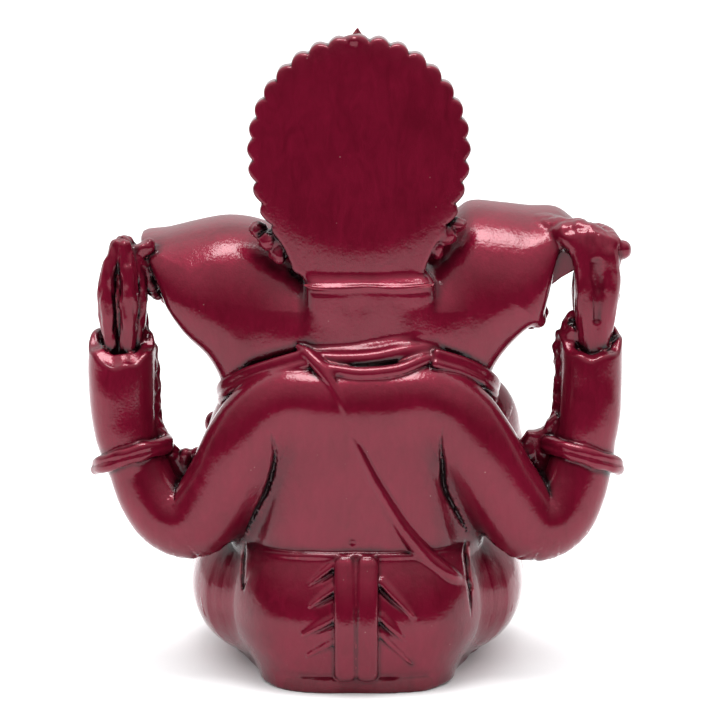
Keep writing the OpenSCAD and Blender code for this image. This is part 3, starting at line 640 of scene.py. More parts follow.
# ---- Rear arms ----
rear_arm = {
    LEFT: [[1, 13.8, 52, 7.4], [6, 14, 52.4, 7.5], [12, 14, 52.4, 7.5], [17, 14.3, 49.6, 7.5], [21, 14.6, 44.2, 7.4],
           [24.4, 14.2, 37.4, 7.3], [29.2, 13.2, 30.3, 7.1], [34.4, 12, 30.2, 6.5], [38.4, 10.8, 34.3, 6.0],
           [41.2, 9.6, 41, 5.6]],
    RIGHT: [[-1, 13.8, 52, 7.4], [-6, 14, 52.6, 7.5], [-12, 14, 52.6, 7.5], [-17.4, 14.3, 50, 7.5],
            [-21.8, 14.6, 44.4, 7.4],
            [-26.4, 14.2, 36.6, 7.3], [-31.6, 13.2, 29.6, 7.2], [-36.8, 12, 30.3, 6.6], [-40, 10.8, 35.6, 6.1],
            [-41.8, 9.6, 42.4, 5.7]],
}
web_line = {
    LEFT: [[38, 47.4], [36.8, 46.8], [35.3, 45.7], [34.5, 44.2], [34.7, 42.5], [33.4, 41.4], [31.1, 41.7], [29.4, 42],
           [28.2, 43.4], [26, 40], [31, 33], [37, 34], [40, 42]],
    RIGHT: [[-36.6, 49], [-35, 47.6], [-34.4, 46.2], [-33, 45.6], [-31.6, 45.6], [-30.4, 43.6], [-29, 43.4], [-28, 38],
            [-33, 33], [-39, 36], [-41, 46]],
}


def web(side):
    """The thin cast sheet that closes the crook of a rear arm."""
    line = web_line[side]
    plan = outline_map(line)

    def field(p):
        d = plan(p[:, 0], p[:, 2])
        hollow = 7.6 + 0.25 * ripple(p, 5, 0.9)
        return blend_max(d, np.abs(p[:, 1] - hollow) - 1.5, 1.0)
    xs, zs = zip(*line)
    return Form(field, [min(xs), 5.6, min(zs)], [max(xs), 9.8, max(zs)])


for s, side in SIDES:
    arm = join(1.6, limb(rear_arm[s], 1.12), web(s))
    ruffle = beads([[s * 36, 8.2, 43], [s * 33, 8.2, 41.4], [s * 29.6, 8.6, 41.6]], 1.15, 4)
    arm = join(1.2, arm, ruffle)
    arm = carve(arm, 0.6, underarm[s])
    part(f"rear_{side}_upper_arm", uneven(arm, 0.14, 23, 3 * s), 0.48, 4.0)

forearm = {LEFT: [[41.6, 9.8, 41, 5.3], [43, 9, 46, 5.7], [43.6, 7.8, 53, 6.05], [43.6, 6.2, 61.6, 6.1]],
           RIGHT: [[-41.8, 9.8, 42.4, 5.2], [-42.8, 9, 47, 5.6], [-43.2, 7.8, 53, 5.7], [-43.3, 6.2, 61.9, 5.7]]}
for s, side in SIDES:
    rim_x, rim_top = forearm[s][-1][0], forearm[s][-1][2]
    tube = limb(forearm[s] + [[rim_x, 5.4, rim_top + 6, 5.5]])
    sleeve = clip(tube, 0.6, lambda p, z=rim_top, k=s: 0.8 * (
        np.maximum(p[:, 2] - z - 1 + 0.5 * (p[:, 1] - 6), p[:, 2] - z - 2.6) - 0.6 * ripple(p * [1, 1, 0], 5.2, k)))
    sleeve = carve(sleeve, 0.9,
                   limb([[rim_x, 7.2, rim_top - 0.8, 2.4], [rim_x, 6.4, rim_top + 1.4, 4.3],
                         [rim_x, 5.8, rim_top + 6, 5.2]]))
    crust = limb([[s * 38.6, 5.2, 60.4, 1.5], [s * 37.9, 5.4, 56, 1.3], [s * 37.7, 5.8, 51, 1.4],
                  [s * 37.4, 6.6, 46.4, 1.6]])
    sleeve = join(0.8, sleeve, uneven(crust, 0.4, 3.1, s))
    bands = [bead_ring([float(np.interp(z, [46, 60], [42.8, abs(rim_x)])) * s, 6, z], [0, 0, 0], r, 1, 15, 1.3)
             for z, r in ((46.8, 5), (50.6, 5.2), (54.4, 5.4), (58, 5.5))]
    inner_front = clip(join(0.4, *bands), 0.6, lambda p, k=s: blend_max(p[:, 1] - 6.6, k * p[:, 0] - 42.6, 0.5))
    sleeve = join(0.9, sleeve, inner_front)
    part(f"rear_{side}_forearm", uneven(sleeve, 0.1, 9, s), 0.4, 0.6)

for s, side in SIDES:
    node = f"rear_{side}_armlet"
    c = centre_of(node)
    tilt = [12, s * 17, 0]
    part(node, uneven(join(0.25, ring(c + [0, 0, 0.65], tilt, 6.75, 1.1), ring(c - [0, 0, 0.6], tilt, 7.05, 1.0)),
                      0.22, 5.5, 0.2), 0.32, 0.6)

# Rear left hand: the back shows long ridges, the fingers curl forward round the noose
hand = join(
    0.4,
    limb([[43.4, 5.8, 56, 2.7], [43.4, 5.6, 60, 2.3], [43.3, 4.8, 66, 2.4], [43.3, 4.2, 73, 2.4], [43.2, 4, 78, 2]]),
    limb([[44.5, 6.8, 58, 1.1], [45.3, 7.1, 62, 1.4], [46, 7.2, 68, 1.7], [45.9, 6.6, 74, 1.6], [44.2, 5.2, 80, 1.3]]),
    limb([[42.5, 7.3, 58, 1.2], [42.2, 7.9, 63, 1.5], [41.9, 8, 69, 1.7], [42, 7.3, 74.6, 1.6],
          [42.8, 5.8, 79.8, 1.4]]),
    limb([[41.5, 6, 60, 1], [40.6, 5.6, 65, 1.4], [40.3, 5.2, 71, 1.5], [41, 4.6, 77, 1.4]]),
    limb([[43.9, 6.8, 63, 0.4], [44, 7.2, 68, 0.5], [43.9, 6.7, 74, 0.4]]),
    limb([[43.4, 4.8, 77.2, 1.9], [43.3, 3.4, 79.6, 1.9], [42.2, 1.2, 78.8, 1.5], [41.4, 0.4, 76.4, 1.1]]),
    *[limb([[45.4, 4.4, z, 1.7], [44.4, 1.2, z + 0.6, 1.6], [41.6, -0.8, z + 0.2, 1.35], [40, 0.6, z - 0.4, 1]])
      for z in (66.2, 69.4, 72.6, 75.6)],
    limb([[40.9, 4.6, 62.4, 1.8], [40.4, 2.6, 65.4, 1.6], [40.6, 0.8, 68.6, 1.2]]),
)
hand = swell(hand, lambda p: 0.2 * ripple(p * [1, 1, 0.4], 2.4, 0.4) + 0.1 * ripple(p * [1, 1, 0.3], 1.3, 2.2))
link = uneven(join(0.6, limb([[42.4, 4.4, 77.4, 1.5], [40.2, 3.6, 78.8, 1.5], [38.4, 3, 79.6, 1.4]]),
                  limb([[41, 3.5, 78, 1.5], [39.4, 3, 75, 1.8], [38, 2.6, 72, 1.6], [37.4, 2, 70, 0.9]])), 0.35, 3, 1.5)
part("rear_left_hand", join(0.5, hand, link), 0.3, 0.6)

# Rear right hand: it rises from the cuff and bends in over the ear's tip, gripping the axe
hand = join(
    0.6,
    limb([[-43.5, 6.4, 56, 2.8], [-43.7, 6.6, 62, 2.7], [-44, 6.2, 70, 3]]),
    limb([[-44.6, 6.4, 60, 1.6], [-45.4, 6.8, 67, 2.2], [-46, 6, 75, 2.5], [-44.6, 4.6, 80.2, 2.3],
          [-41, 3, 82.4, 1.9]]),
    limb([[-42.8, 6.4, 60, 1.6], [-42.3, 7, 67, 2.2], [-42.2, 6.2, 75, 2.4], [-41, 5, 79.4, 2.3],
          [-38.2, 3.8, 81.6, 1.9]]),
    *[limb([[-46.8, 4.6, z, 1.75], [-46, 0.4, z + 0.8, 1.7], [-43.2, -3.4, z + 1, 1.45], [-41.6, -2.4, z + 0.7, 1.1]])
      for z in (70.6, 73.9, 77.2, 80.4)],
    limb([[-42.6, 4, 65, 1.7], [-41.4, -0.2, 68.8, 1.5], [-41.2, -2.2, 73, 1.2]]),
    limb([[-46, 4.4, 79.4, 1.3], [-48.4, 4.2, 79.2, 1]]), ball([-49, 4.2, 79], [1.5, 1.5, 1.7]),
)
hand = join(1.6, hand, limb([[-34.6, -1, 82, 2.6], [-38.4, 1.4, 81.6, 3], [-42, 3.4, 80.6, 3.2], [-45, 5, 78, 2.8]]))
hand = carve(hand, 0.9, limb([[-43.9, 9.2, 67, 0.4], [-44.1, 9.2, 72, 0.8], [-43.8, 8.2, 77.4, 0.4]]))
hand = swell(hand, lambda p: 0.16 * ripple(p * [1, 1, 0.35], 2.9, 1.9) + 0.06 * ripple(p * [1, 1, 0.12], 1.4, 0.6))
crust = uneven(join(0.6, limb([[-40.8, 5, 67.6, 1], [-39.6, 5.3, 65.6, 1.4], [-38.5, 5.2, 62.6, 1.8],
                               [-38.3, 5, 59.4, 1.8], [-39, 5.2, 56, 1.4]]),
                   limb([[-40.2, 6, 61, 1.8], [-40, 6, 64.6, 1.6]])), 0.45, 2.8, 0.7)
part("rear_right_hand", join(0.6, hand, crust), 0.32, 0.9)

# What the rear hands hold
loop = np.array([32.4, -4.6, 72])


def rope(p):
    a = np.arctan2(p[:, 2] - loop[2], p[:, 0] - loop[0])
    return 0.22 * np.abs(np.sin(a * 11 + (p[:, 1] - loop[1]) * 2))


part("noose", join(0.3, swell(ring(loop, [90, 0, 8], 5, 0.95), rope),
                   limb([[37, -4.2, 74.4, 1.05], [39, -2.6, 75.4, 1.1], [40.6, -1.4, 75.2, 1.1]]),
                   limb([[31, -4.8, 67.4, 1.1], [30, -4.9, 64.6, 1.2], [29.6, -5, 62.4, 0.9]]),
                   ball([29.5, -5, 61.4], [1.6, 1.5, 1.8])), 0.28, 0.3)
axe_turn = [0, 5, 0]
handle = turned([0, 0, 0],
                [[-13, 1], [-12.4, 1.5], [-11.4, 1], [-8, 0.95], [5, 0.95], [9, 1], [10, 1.4], [11, 1.2], [12.6, 0.5]])
blade_line = [[0.4, -1.5], [3.6, -3], [7.6, -5.6], [9, -3], [9.6, 0], [9, 3], [7.6, 5.6], [3.6, 3], [0.4, 1.5]]


def blade_field(p):
    thick = 0.95 - 0.07 * np.clip(p[:, 0], 0, 9.5)
    return blend_max(outline_distance(p[:, 0], p[:, 2] - 6, blade_line), np.abs(p[:, 1]) - thick, 0.25)


blade = Form(blade_field, [0, -1, 0.4], [9.7, 1, 11.6])
part("axe", placed(join(0.3, handle, blade), [-42, -0.9, 70.4], axe_turn), 0.28, 0.3)

# ---- Front arms ----
front_upper = {LEFT: [[14, 2, 52.6, 6.2], [19.4, -1.6, 47.4, 6.6], [22.4, -5.4, 40.4, 6.3], [23, -9, 33.4, 5.9]],
               RIGHT: [[-15, 2, 52.4, 6.4], [-21.8, -1.6, 47.4, 7.4], [-24.6, -5.4, 41.4, 6.6], [-26, -9, 34.6, 6]]}
front_lower = {LEFT: [[23, -9.4, 33, 5.6], [21.6, -17, 29.8, 5], [18.4, -24, 28.4, 4.1], [15.8, -28, 28.2, 3.3]],
               RIGHT: [[-26, -9.4, 34.2, 5.7], [-25.4, -16, 35.4, 5.1], [-23.6, -21.6, 38.4, 4.3],
                       [-21.6, -25.4, 42.4, 3.3]]}
for s, side in SIDES:
    part(f"front_{side}_upper_arm", limb(front_upper[s]), 0.48, 1.6)
    part(f"front_{side}_forearm", limb(front_lower[s]), 0.42, 1.2)

palm = join(0.5, ball([13.8, -30.4, 27.8], [4.5, 4.8, 2.1], [0, 0, -20]),
            limb([[16.4, -27.4, 28.1, 2.9], [14.6, -29.6, 28, 2.5]]))
for i in range(4):
    palm = join(0.3, palm, limb([[16.6 - i * 1.8, -33, 27.8, 1.25], [16.6 - i * 1.95, -35.6, 29.4, 1.2],
                                 [16 - i * 1.85, -36.2, 32.2, 1.05], [15.4 - i * 1.6, -35.6, 33.8, 0.85]]))
palm = join(0.3, palm, limb([[10.6, -28.6, 28.6, 1.4], [8.4, -30, 31, 1.3], [8.8, -31.4, 33.8, 1]]))
part("front_left_hand", palm, 0.3, 0.4)

palm = join(0.6, ball([-20.6, -26.8, 47.4], [4.1, 2.2, 4.6], [8, 0, 0]),
            limb([[-21.6, -25.4, 42.6, 3.1], [-21, -26.2, 45, 3]]))
for i, tip in enumerate((57.2, 58.6, 58.2, 55.8)):
    x = -20.6 + 2.1 * (1.5 - i)
    palm = join(0.35, palm, limb([[x, -27, 49.6, 1.25], [x * 1.003, -27.7, (50 + tip) / 2, 1.2],
                                  [x, -28.6, tip, 0.95]]))
palm = join(0.5, palm, limb([[-18, -27, 45.4, 1.5], [-15.2, -27.8, 48.2, 1.35], [-14.8, -28.2, 51.4, 1]]))
palm = join(0.15, palm, ring([-20.6, -29, 47.6], [90, 0, 0], 1.3, 0.28), ball([-20.6, -29, 47.6], [0.5, 0.4, 0.5]))
part("front_right_hand", palm, 0.3, 0.4)

armlet_turn = {LEFT: [26, 14, 0], RIGHT: [20, -14, 0]}
bangle_turn = {LEFT: [80, 0, 28], RIGHT: [55, 0, -20]}
anklet_turn = {LEFT: [0, 84, 20], RIGHT: [0, 80, -12]}
for s, side in SIDES:
    c = centre_of(f"front_{side}_armlet")
    jewel = c + np.array([s * 5.6, -4.4, 0.4])
    part(f"front_{side}_armlet", join(
        0.25, ring(c, armlet_turn[s], 6.6, 0.9, 0.7), bead_ring(c + [0, 0, 1.1], armlet_turn[s], 6.7, 0.62, 30),
        bead_ring(c - [0, 0, 1.1], armlet_turn[s], 6.7, 0.62, 30), ball(jewel, [1.8, 1.6, 2.4])), 0.3, 0.3)
    c = centre_of(f"front_{side}_bangle")
    part(f"front_{side}_bangle", join(0.2, ring(c, bangle_turn[s], 4.6, 0.75),
                                      bead_ring(c, bangle_turn[s], 4.9, 0.72, 22)), 0.3, 0.3)
    c = centre_of(f"{side}_anklet")
    part(f"{side}_anklet", join(0.2, ring(c, anklet_turn[s], 5.7 if s == LEFT else 5.4, 0.75),
                                bead_ring(c, anklet_turn[s], 6 if s == LEFT else 5.7, 0.75, 26)), 0.3, 0.3)

c = centre_of("modak")
part("modak", turned([c[0], c[1], c[2] - 4.5], [
    [0, 1.6], [0.5, 2.9], [2, 3.9], [3.8, 3.9], [5.4, 3], [6.6, 1.7], [7.8, 0.9], [9, 0.3]], 13, 0.55), 0.3, 0.3)

# ---- Legs under the cloth ----
thigh = [[12, 8, 14.4, 11], [17.4, 2.6, 14.4, 12.6], [20.2, -5, 13.8, 11.9], [22.4, -13, 13, 9.4],
         [22.4, -17.4, 12, 8.4]]


def cloth_folds(s):
    """Shallow folds of the dhoti running round the thigh."""
    def amount(p):
        run = p[:, 1] * 0.62 + p[:, 2] * 0.25 + s * p[:, 0] * 0.18
        return (0.28 * np.maximum(np.sin(run * 1.15), 0) ** 2 - 0.08) * np.clip((2 - p[:, 1]) / 9, 0, 1)
    return amount


shin = {LEFT: [[22.2, -18, 10, 7], [18, -23.4, 9, 6.6], [11, -28, 8.6, 5.7], [3, -31, 8.3, 4.9]],
        RIGHT: [[-22.2, -18, 11.4, 7.2], [-18, -23, 11.6, 6.7], [-11, -26.8, 12.8, 5.7], [-2.4, -29, 14.6, 4.7]]}
foot = {LEFT: [[2, -31.6, 8, 4.5], [-5.6, -32.8, 6.9, 3.9], [-12.4, -32.6, 6.2, 3.2]],
        RIGHT: [[-1, -29.6, 15, 4.4], [6, -29.4, 16, 3.7], [12, -28.2, 16.8, 3]]}
for s, side in SIDES:
    part(f"{side}_thigh", swell(limb(both(s, thigh)), cloth_folds(s)), 0.48, 1.4)
    hem = cord([[s * 15.6, -31.6, 8 if s == LEFT else 9], [s * 16.4, -28, 14.6 if s == LEFT else 17],
                [s * 17, -21, 17]], 0.7)
    part(f"{side}_shin", join(0.8, swell(limb(shin[s]), cloth_folds(-s)), hem), 0.45, 0.9)
    out = -s
    sole = limb(foot[s], 0.9)
    toe = foot[s][-1]
    for i in range(5):
        rise = 2.3 - 1.15 * i
        r = 1.4 if i == 0 else 1.15 - 0.06 * i
        sole = join(0.3, sole, limb([[toe[0] + s * 0.6, toe[1] + 0.6 - 0.4 * i, toe[2] + rise * 0.9, r],
                                     [toe[0] + out * (3.4 - 0.35 * i), toe[1] + 0.4 - 0.4 * i, toe[2] + rise,
                                      r * 0.95]]))
    part(f"{side}_foot", sole, 0.34, 0.5)

# ---- Necklace ----
collar = [[12.4, -6.6, 57.6], [10.2, -13.2, 54.2], [5.6, -17.4, 51], [0, -18.8, 49.8], [-5.6, -17.4, 51],
          [-10.2, -13.2, 54.2], [-12.4, -6.6, 57.6]]
drop = [[x * 1.06, y - 1.2, z - 2.3] for x, y, z in collar[1:-1]]
part("necklace", join(0.3, cord(collar, 1.15), beads(drop, 0.95, 15), ball([0, -20.6, 46.6], [2.2, 1.3, 2.6]),
                      bead_ring([0, -21.2, 46.6], [84, 0, 0], 2.2, 0.5, 12)), 0.32, 0.4)


# Narrow slots [x, z, half width] where the arms and the hips meet the back
SLOT_FROM_Y, SLOT_SLOPE = 10, 0.7
slots = [limb([[x, 0, z, r] for x, z, r in line]) for line in (
    [[15.9, 49.2, 0.1], [15.2, 46.4, 0.55], [15.1, 42.6, 0.7], [16.5, 37.2, 0.65], [19, 31.8, 0.5], [20.6, 28, 0.1]],
    [[-15.4, 49.4, 0.1], [-15.2, 46, 0.55], [-15.6, 42, 0.7], [-16, 37, 0.65], [-18.6, 31.6, 0.5], [-20.4, 28, 0.1]],
    [[20.6, 26.2, 0.1], [20.9, 22.8, 0.4], [21, 19.8, 0.45], [20.9, 17.6, 0.1]],
    [[-19.9, 26.6, 0.1], [-19.9, 24, 0.6], [-20.4, 20, 0.5], [-20.8, 16.4, 0.4], [-21, 13, 0.1]],
)]

# ---------------------------------------------------------------------------
# Meshing. Neighbouring forms flow into one another over the whole figure, and
# each piece is the share of it where its own form is the nearest.
# ---------------------------------------------------------------------------
order = sorted(parts, key=lambda name: -parts[name][2])
# Each piece runs LAP mm under its neighbour and sinks as it goes, so no gap shows between them
TUCK, LAP = 0.5, 0.6
# A coarse block is worked out finely where the surface is within this many of its widths
NEAR_BLOCKS = 1.9
FINITE_STEP = 0.03
NORMAL_STEP = 0.1
# How far out, in mm, the figure is looked at for hollows, and how far in for edges
HOLLOW_REACHES, EDGE_REACH = (0.5, 1.2, 2.6), 0.7
# A point this near the whole figure's surface is on the outside
SKIN = 0.12


def cut_slots(whole, p):
    """The whole figure's distance with the narrow slots of its back pressed in."""
    flat = p * [1, 0, 1]
    for slot in slots:
        near = np.flatnonzero((slot.gap(flat) < 0) & (p[:, 1] > SLOT_FROM_Y))
        if len(near):
            whole[near] += SLOT_SLOPE * np.maximum(-slot(flat[near]), 0)
    return whole


def near_forms(low, high):
    return [name for name in order
            if (parts[name][0].low < high + REACH).all() and (parts[name][0].high > low - REACH).all()]


def fields(p, node, names):
    """The whole figure's distance, and how far p is from being this node's share."""
    mine = parts[node][0](p)
    share = mine + parts[node][3]
    rest = share + REACH
    far = mine + 1.5 * REACH
    whole = far.copy()
    for name in names:
        form, _, soft, yields = parts[name]
        if name == node:
            whole = blend_min(whole, mine, soft)
            continue
        near = np.flatnonzero(form.gap(p) < np.maximum(np.minimum(whole + soft, far), rest + 1))
        if len(near):
            d = form(p[near])
            whole[near] = blend_min(whole[near], d, soft)
            rest[near] = np.minimum(rest[near], d + yields)
    share = share - rest
    return cut_slots(whole, p) + TUCK * np.maximum(share, 0), share - LAP


def figure(p, names):
    """The whole figure's distance."""
    whole = np.full(len(p), 2 * REACH)
    for name in names:
        form, _, soft, _ = parts[name]
        near = np.flatnonzero(form.gap(p) < whole + soft)
        if len(near):
            whole[near] = blend_min(whole[near], form(p[near]), soft)
    return cut_slots(whole, p)


def in_blocks(f, p, size=24000):
    """f over many points, a block at a time."""
    out = [f(p[i:i + size]) for i in range(0, len(p), size)]
    return [np.concatenate(c) for c in zip(*out)]


def sample(node, names, low, h, shape):
    """The piece's field on a grid, worked out finely only near its surface."""
    def value(p):
        whole, share = fields(p, node, names)
        return (np.maximum(whole, share),)
    cells = [-(-n // COARSE) for n in shape]
    ids = np.indices(cells).reshape(3, -1).T
    g = in_blocks(value, low + (ids + 0.5) * COARSE * h)[0]
    grid = np.repeat(np.repeat(np.repeat(g.reshape(cells), COARSE, 0), COARSE, 1), COARSE, 2)
    near = ids[np.abs(g) < COARSE * h * NEAR_BLOCKS]
    inner = np.indices([COARSE] * 3).reshape(3, -1).T
    fine = (near[:, None, :] * COARSE + inner[None]).reshape(-1, 3)
    grid[tuple(fine.T)] = in_blocks(value, low + fine * h)[0]
    return grid


def surface_net(grid):
    """Points, in grid steps, and quads on the zero surface of a sampled field."""
    inside = grid < 0
    shape = np.array(grid.shape)
    total = np.zeros((4, grid.size))
    found = []
    for axis in range(3):
        u, v = (axis + 1) % 3, (axis + 2) % 3
        low = [slice(None)] * 3
        high = [slice(None)] * 3
        low[axis], high[axis] = slice(0, -1), slice(1, None)
        low, high = tuple(low), tuple(high)
        at = np.argwhere(inside[low] != inside[high])
        step = np.eye(3, dtype=int)[axis]
        a, b = grid[tuple(at.T)], grid[tuple((at + step).T)]
        spot = at + (a / (a - b))[:, None] * step
        ring_ids = []
        for du, dv in ((0, 0), (-1, 0), (-1, -1), (0, -1)):
            cell = at.copy()
            cell[:, u] += du
            cell[:, v] += dv
            flat = np.ravel_multi_index(cell.T, shape)
            ring_ids.append(flat)
            for i in range(3):
                total[i] += np.bincount(flat, spot[:, i], grid.size)
            total[3] += np.bincount(flat, minlength=grid.size)
        quads = np.stack(ring_ids, 1)
        outward = a < 0
        found.append(np.where(outward[:, None], quads, quads[:, ::-1]))
    quads = np.concatenate(found)
    used, quads = np.unique(quads, return_inverse=True)
    return (total[:3, used] / total[3, used]).T, quads.reshape(-1, 4)


def slope(f, p, e):
    """Values and gradients of several fields at p."""
    low, high = [], []
    for axis in range(3):
        step = np.zeros(3)
        step[axis] = e
        high.append(f(p + step))
        low.append(f(p - step))
    count = len(high[0])
    return [np.stack([(high[a][i] - low[a][i]) / (2 * e) for a in range(3)], 1) for i in range(count)]


def settle(f, p, h, rounds):
    """Points moved onto the outer surface, onto the joint between pieces, or onto both at a rim."""
    for _ in range(rounds):
        values = f(p)
        slopes = slope(f, p, FINITE_STEP)
        close = [np.abs(v) < 0.75 * h for v in values]
        for i in (1, 0):
            other = 1 - i
            leading = values[i] >= values[other]
            move = leading | close[i]
            length = (slopes[i] ** 2).sum(1) + 1e-6
            step = -(values[i] / length)[:, None] * slopes[i]
            size = np.linalg.norm(step, axis=1)
            step *= np.minimum(1, 0.6 * h / np.maximum(size, 1e-9))[:, None]
            p = p + step * move[:, None]
    return p


def shape_of(node):
    """A piece's points, quads, shading normals and the places where lacquer pools or wears."""
    form, cell = parts[node][:2]
    h = cell * FINE
    pad = 2.5 * h
    low = form.low - pad
    low[2] = max(low[2], -pad)
    shape = np.ceil((form.high + pad - low) / h).astype(int) + 1
    names = near_forms(form.low, form.high)
    grid = sample(node, names, low, h, shape)
    for axis in range(3):
        for end in (0, -1):
            face = [slice(None)] * 3
            face[axis] = end
            grid[tuple(face)] = np.maximum(grid[tuple(face)], 0.01)
    points, quads = surface_net(grid)
    p = settle(lambda q: in_blocks(lambda r: fields(r, node, names), q), low + points * h, h, 2)
    p[:, 2] = np.maximum(p[:, 2], 0)

    def whole(q):
        return in_blocks(lambda r: (figure(r, names),), q)
    outer = np.abs(in_blocks(lambda r: fields(r, node, names), p)[0]) < SKIN
    normal = slope(whole, p, NORMAL_STEP)[0]
    normal /= np.linalg.norm(normal, axis=1)[:, None] + 1e-9
    hollow = np.zeros(len(p))
    for reach in HOLLOW_REACHES:
        hollow += np.clip(1 - whole(p + normal * reach)[0] / reach, 0, 1) / len(HOLLOW_REACHES)
    edge = np.clip(1 + whole(p - normal * EDGE_REACH)[0] / EDGE_REACH, 0, 1)
    return p, quads, normal, outer, hollow, edge


def build(node, material, made):
    p, quads, normal, outer, hollow, edge = made
    mesh = bpy.data.meshes.new(node + "_cast")
    mesh.from_pydata((p + [0, SHIFT_Y, 0]) * METRES, [], quads.tolist())
    mesh.polygons.foreach_set("use_smooth", np.ones(len(quads), bool))
    for name, values in (("hollow", hollow), ("edge", edge)):
        mesh.attributes.new(name, "FLOAT", "POINT").data.foreach_set("value", values.astype(np.float32))
    mesh.update()
    face_normal = np.zeros(len(quads) * 3)
    mesh.polygons.foreach_get("normal", face_normal)
    face_normal = face_normal.reshape(-1, 3)
    agree = (normal[quads] * face_normal[:, None, :]).sum(2)
    skin = outer[quads].all(1) & (agree.mean(1) > 0.5)
    use = skin[:, None] & (agree > 0.25)
    corner = np.where(use[:, :, None], normal[quads], face_normal[:, None, :])
    mesh.normals_split_custom_set(corner.reshape(-1, 3).tolist())
    mesh.materials.append(material)
    piece = bpy.data.objects.new(node + "_cast", mesh)
    bpy.context.collection.objects.link(piece)
    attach(piece, "root")
    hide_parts(node)
    return piece


# ---------------------------------------------------------------------------
# Materials
# ---------------------------------------------------------------------------
class Nodes:
    """A material's node tree, wired by short calls."""

    def __init__(self, name):
        self.material = bpy.data.materials.new(name)
        self.material.use_nodes = True
        self.tree = self.material.node_tree
        self.shader = self.tree.nodes["Principled BSDF"]
        self.place = self.node("ShaderNodeTexCoord").outputs["Object"]

    def node(self, kind, inputs=None, **settings):
        made = self.tree.nodes.new(kind)
        for key, value in settings.items():
            setattr(made, key, value)
        for key, value in (inputs or {}).items():
            self.put(made.inputs[key], value)
        return made

    def put(self, socket, value):
        if isinstance(value, bpy.types.NodeSocket):
            self.tree.links.new(value, socket)
        else:
            socket.default_value = value

    def attribute(self, name):
        return self.node("ShaderNodeAttribute", attribute_name=name).outputs["Fac"]

    def scaled(self, x, y, z):
        """Object coordinates with one texture unit per so many millimetres along each axis."""
        scale = [1000 / v for v in (x, y, z)]
        return self.node("ShaderNodeMapping", {"Vector": self.place, "Scale": scale}).outputs["Vector"]

    def noise(self, size, detail=2.0, rough=0.5, warp=0.0):
        size = size if isinstance(size, tuple) else (size,) * 3
        return self.node("ShaderNodeTexNoise", {"Vector": self.scaled(*size), "Scale": 1.0, "Detail": detail,
                                                "Roughness": rough, "Distortion": warp}).outputs["Fac"]

    def specks(self, size, reach):
        """Small dots: 1 at their middles."""
        cells = self.node("ShaderNodeTexVoronoi", {"Vector": self.scaled(size, size, size), "Scale": 1.0})
        return self.ramp(cells.outputs["Distance"], 0.0, reach, 1.0, 0.0)

    def ramp(self, value, low, high, out_low=0.0, out_high=1.0):
        return self.node("ShaderNodeMapRange", {"Value": value, "From Min": low, "From Max": high,
                                                "To Min": out_low, "To Max": out_high}).outputs["Result"]

    def math(self, kind, a, b, clamp=False):
        made = self.node("ShaderNodeMath", operation=kind, use_clamp=clamp)
        self.put(made.inputs[0], a)
        self.put(made.inputs[1], b)
        return made.outputs["Value"]

    def mix(self, share, a, b):
        made = self.node("ShaderNodeMix", data_type="RGBA")
        self.put(made.inputs["Factor"], share)
        self.put(made.inputs["A"], a)
        self.put(made.inputs["B"], b)
        return made.outputs["Result"]

    def bump(self, height, strength, distance, under=None):
        inputs = {"Height": height, "Strength": strength, "Distance": distance / 1000}
        if under is not None:
            inputs["Normal"] = under
        return self.node("ShaderNodeBump", inputs).outputs["Normal"]


def lacquer(name, deep, bright, worn, peel):
    """Dark red lacquer brushed over a casting: streaks, pooled dark hollows, rubbed edges, orange peel and dust."""
    n = Nodes(name)
    hollow, edge = n.attribute("hollow"), n.attribute("edge")
    clouds = n.noise(14, 3)
    streaks = n.noise((2.2, 2.2, 6), 4, 0.6, 1.2)
    blotches = n.noise(3.2, 4, 0.6)
    shade = n.math("ADD", n.math("MULTIPLY", clouds, 0.45), n.math("MULTIPLY", streaks, 0.4))
    shade = n.ramp(n.math("ADD", shade, n.math("MULTIPLY", blotches, 0.15)), 0.32, 0.68)
    colour = n.mix(shade, deep, bright)
    dark = n.ramp(n.math("ADD", hollow, n.math("MULTIPLY", n.math("SUBTRACT", blotches, 0.5), 0.35)), 0.12, 0.62)
    colour = n.mix(dark, colour, (0.012, 0.0015, 0.003, 1))
    rub = n.ramp(n.math("MULTIPLY", edge, n.noise(1.7, 3, 0.6)), 0.22, 0.5)
    colour = n.mix(n.math("MULTIPLY", rub, 0.5), colour, worn)
    dust = n.math("MULTIPLY", n.specks(2.6, 0.07), n.ramp(n.noise(5), 0.54, 0.62))
    colour = n.mix(n.math("MULTIPLY", dust, 0.55), colour, (0.45, 0.28, 0.27, 1))
    s = n.shader
    n.put(s.inputs["Base Color"], colour)
    rough = n.ramp(n.math("ADD", n.math("MULTIPLY", streaks, 0.6), n.math("MULTIPLY", hollow, 0.4)),
                   0.2, 0.8, 0.3, 0.55)
    n.put(s.inputs["Roughness"], n.math("ADD", rough, n.math("MULTIPLY", dust, 0.3), clamp=True))
    under = n.bump(n.noise(1.5, 2, 0.5), 0.5, 0.09 * peel)
    under = n.bump(n.noise((0.5, 0.5, 5), 2, 0.5, 0.3), 0.5, 0.035 * peel, under)
    under = n.bump(n.noise(0.45, 3, 0.6), 0.6, 0.045 * peel, under)
    n.put(s.inputs["Normal"], under)
    n.put(s.inputs["Coat Normal"], under)
    s.inputs["Coat Weight"].default_value = 1.0
    s.inputs["Coat Roughness"].default_value = 0.07
    s.inputs["Coat IOR"].default_value = 1.4
    s.inputs["Specular IOR Level"].default_value = 0.0
    s.inputs["Metallic"].default_value = 0.45
    return n.material


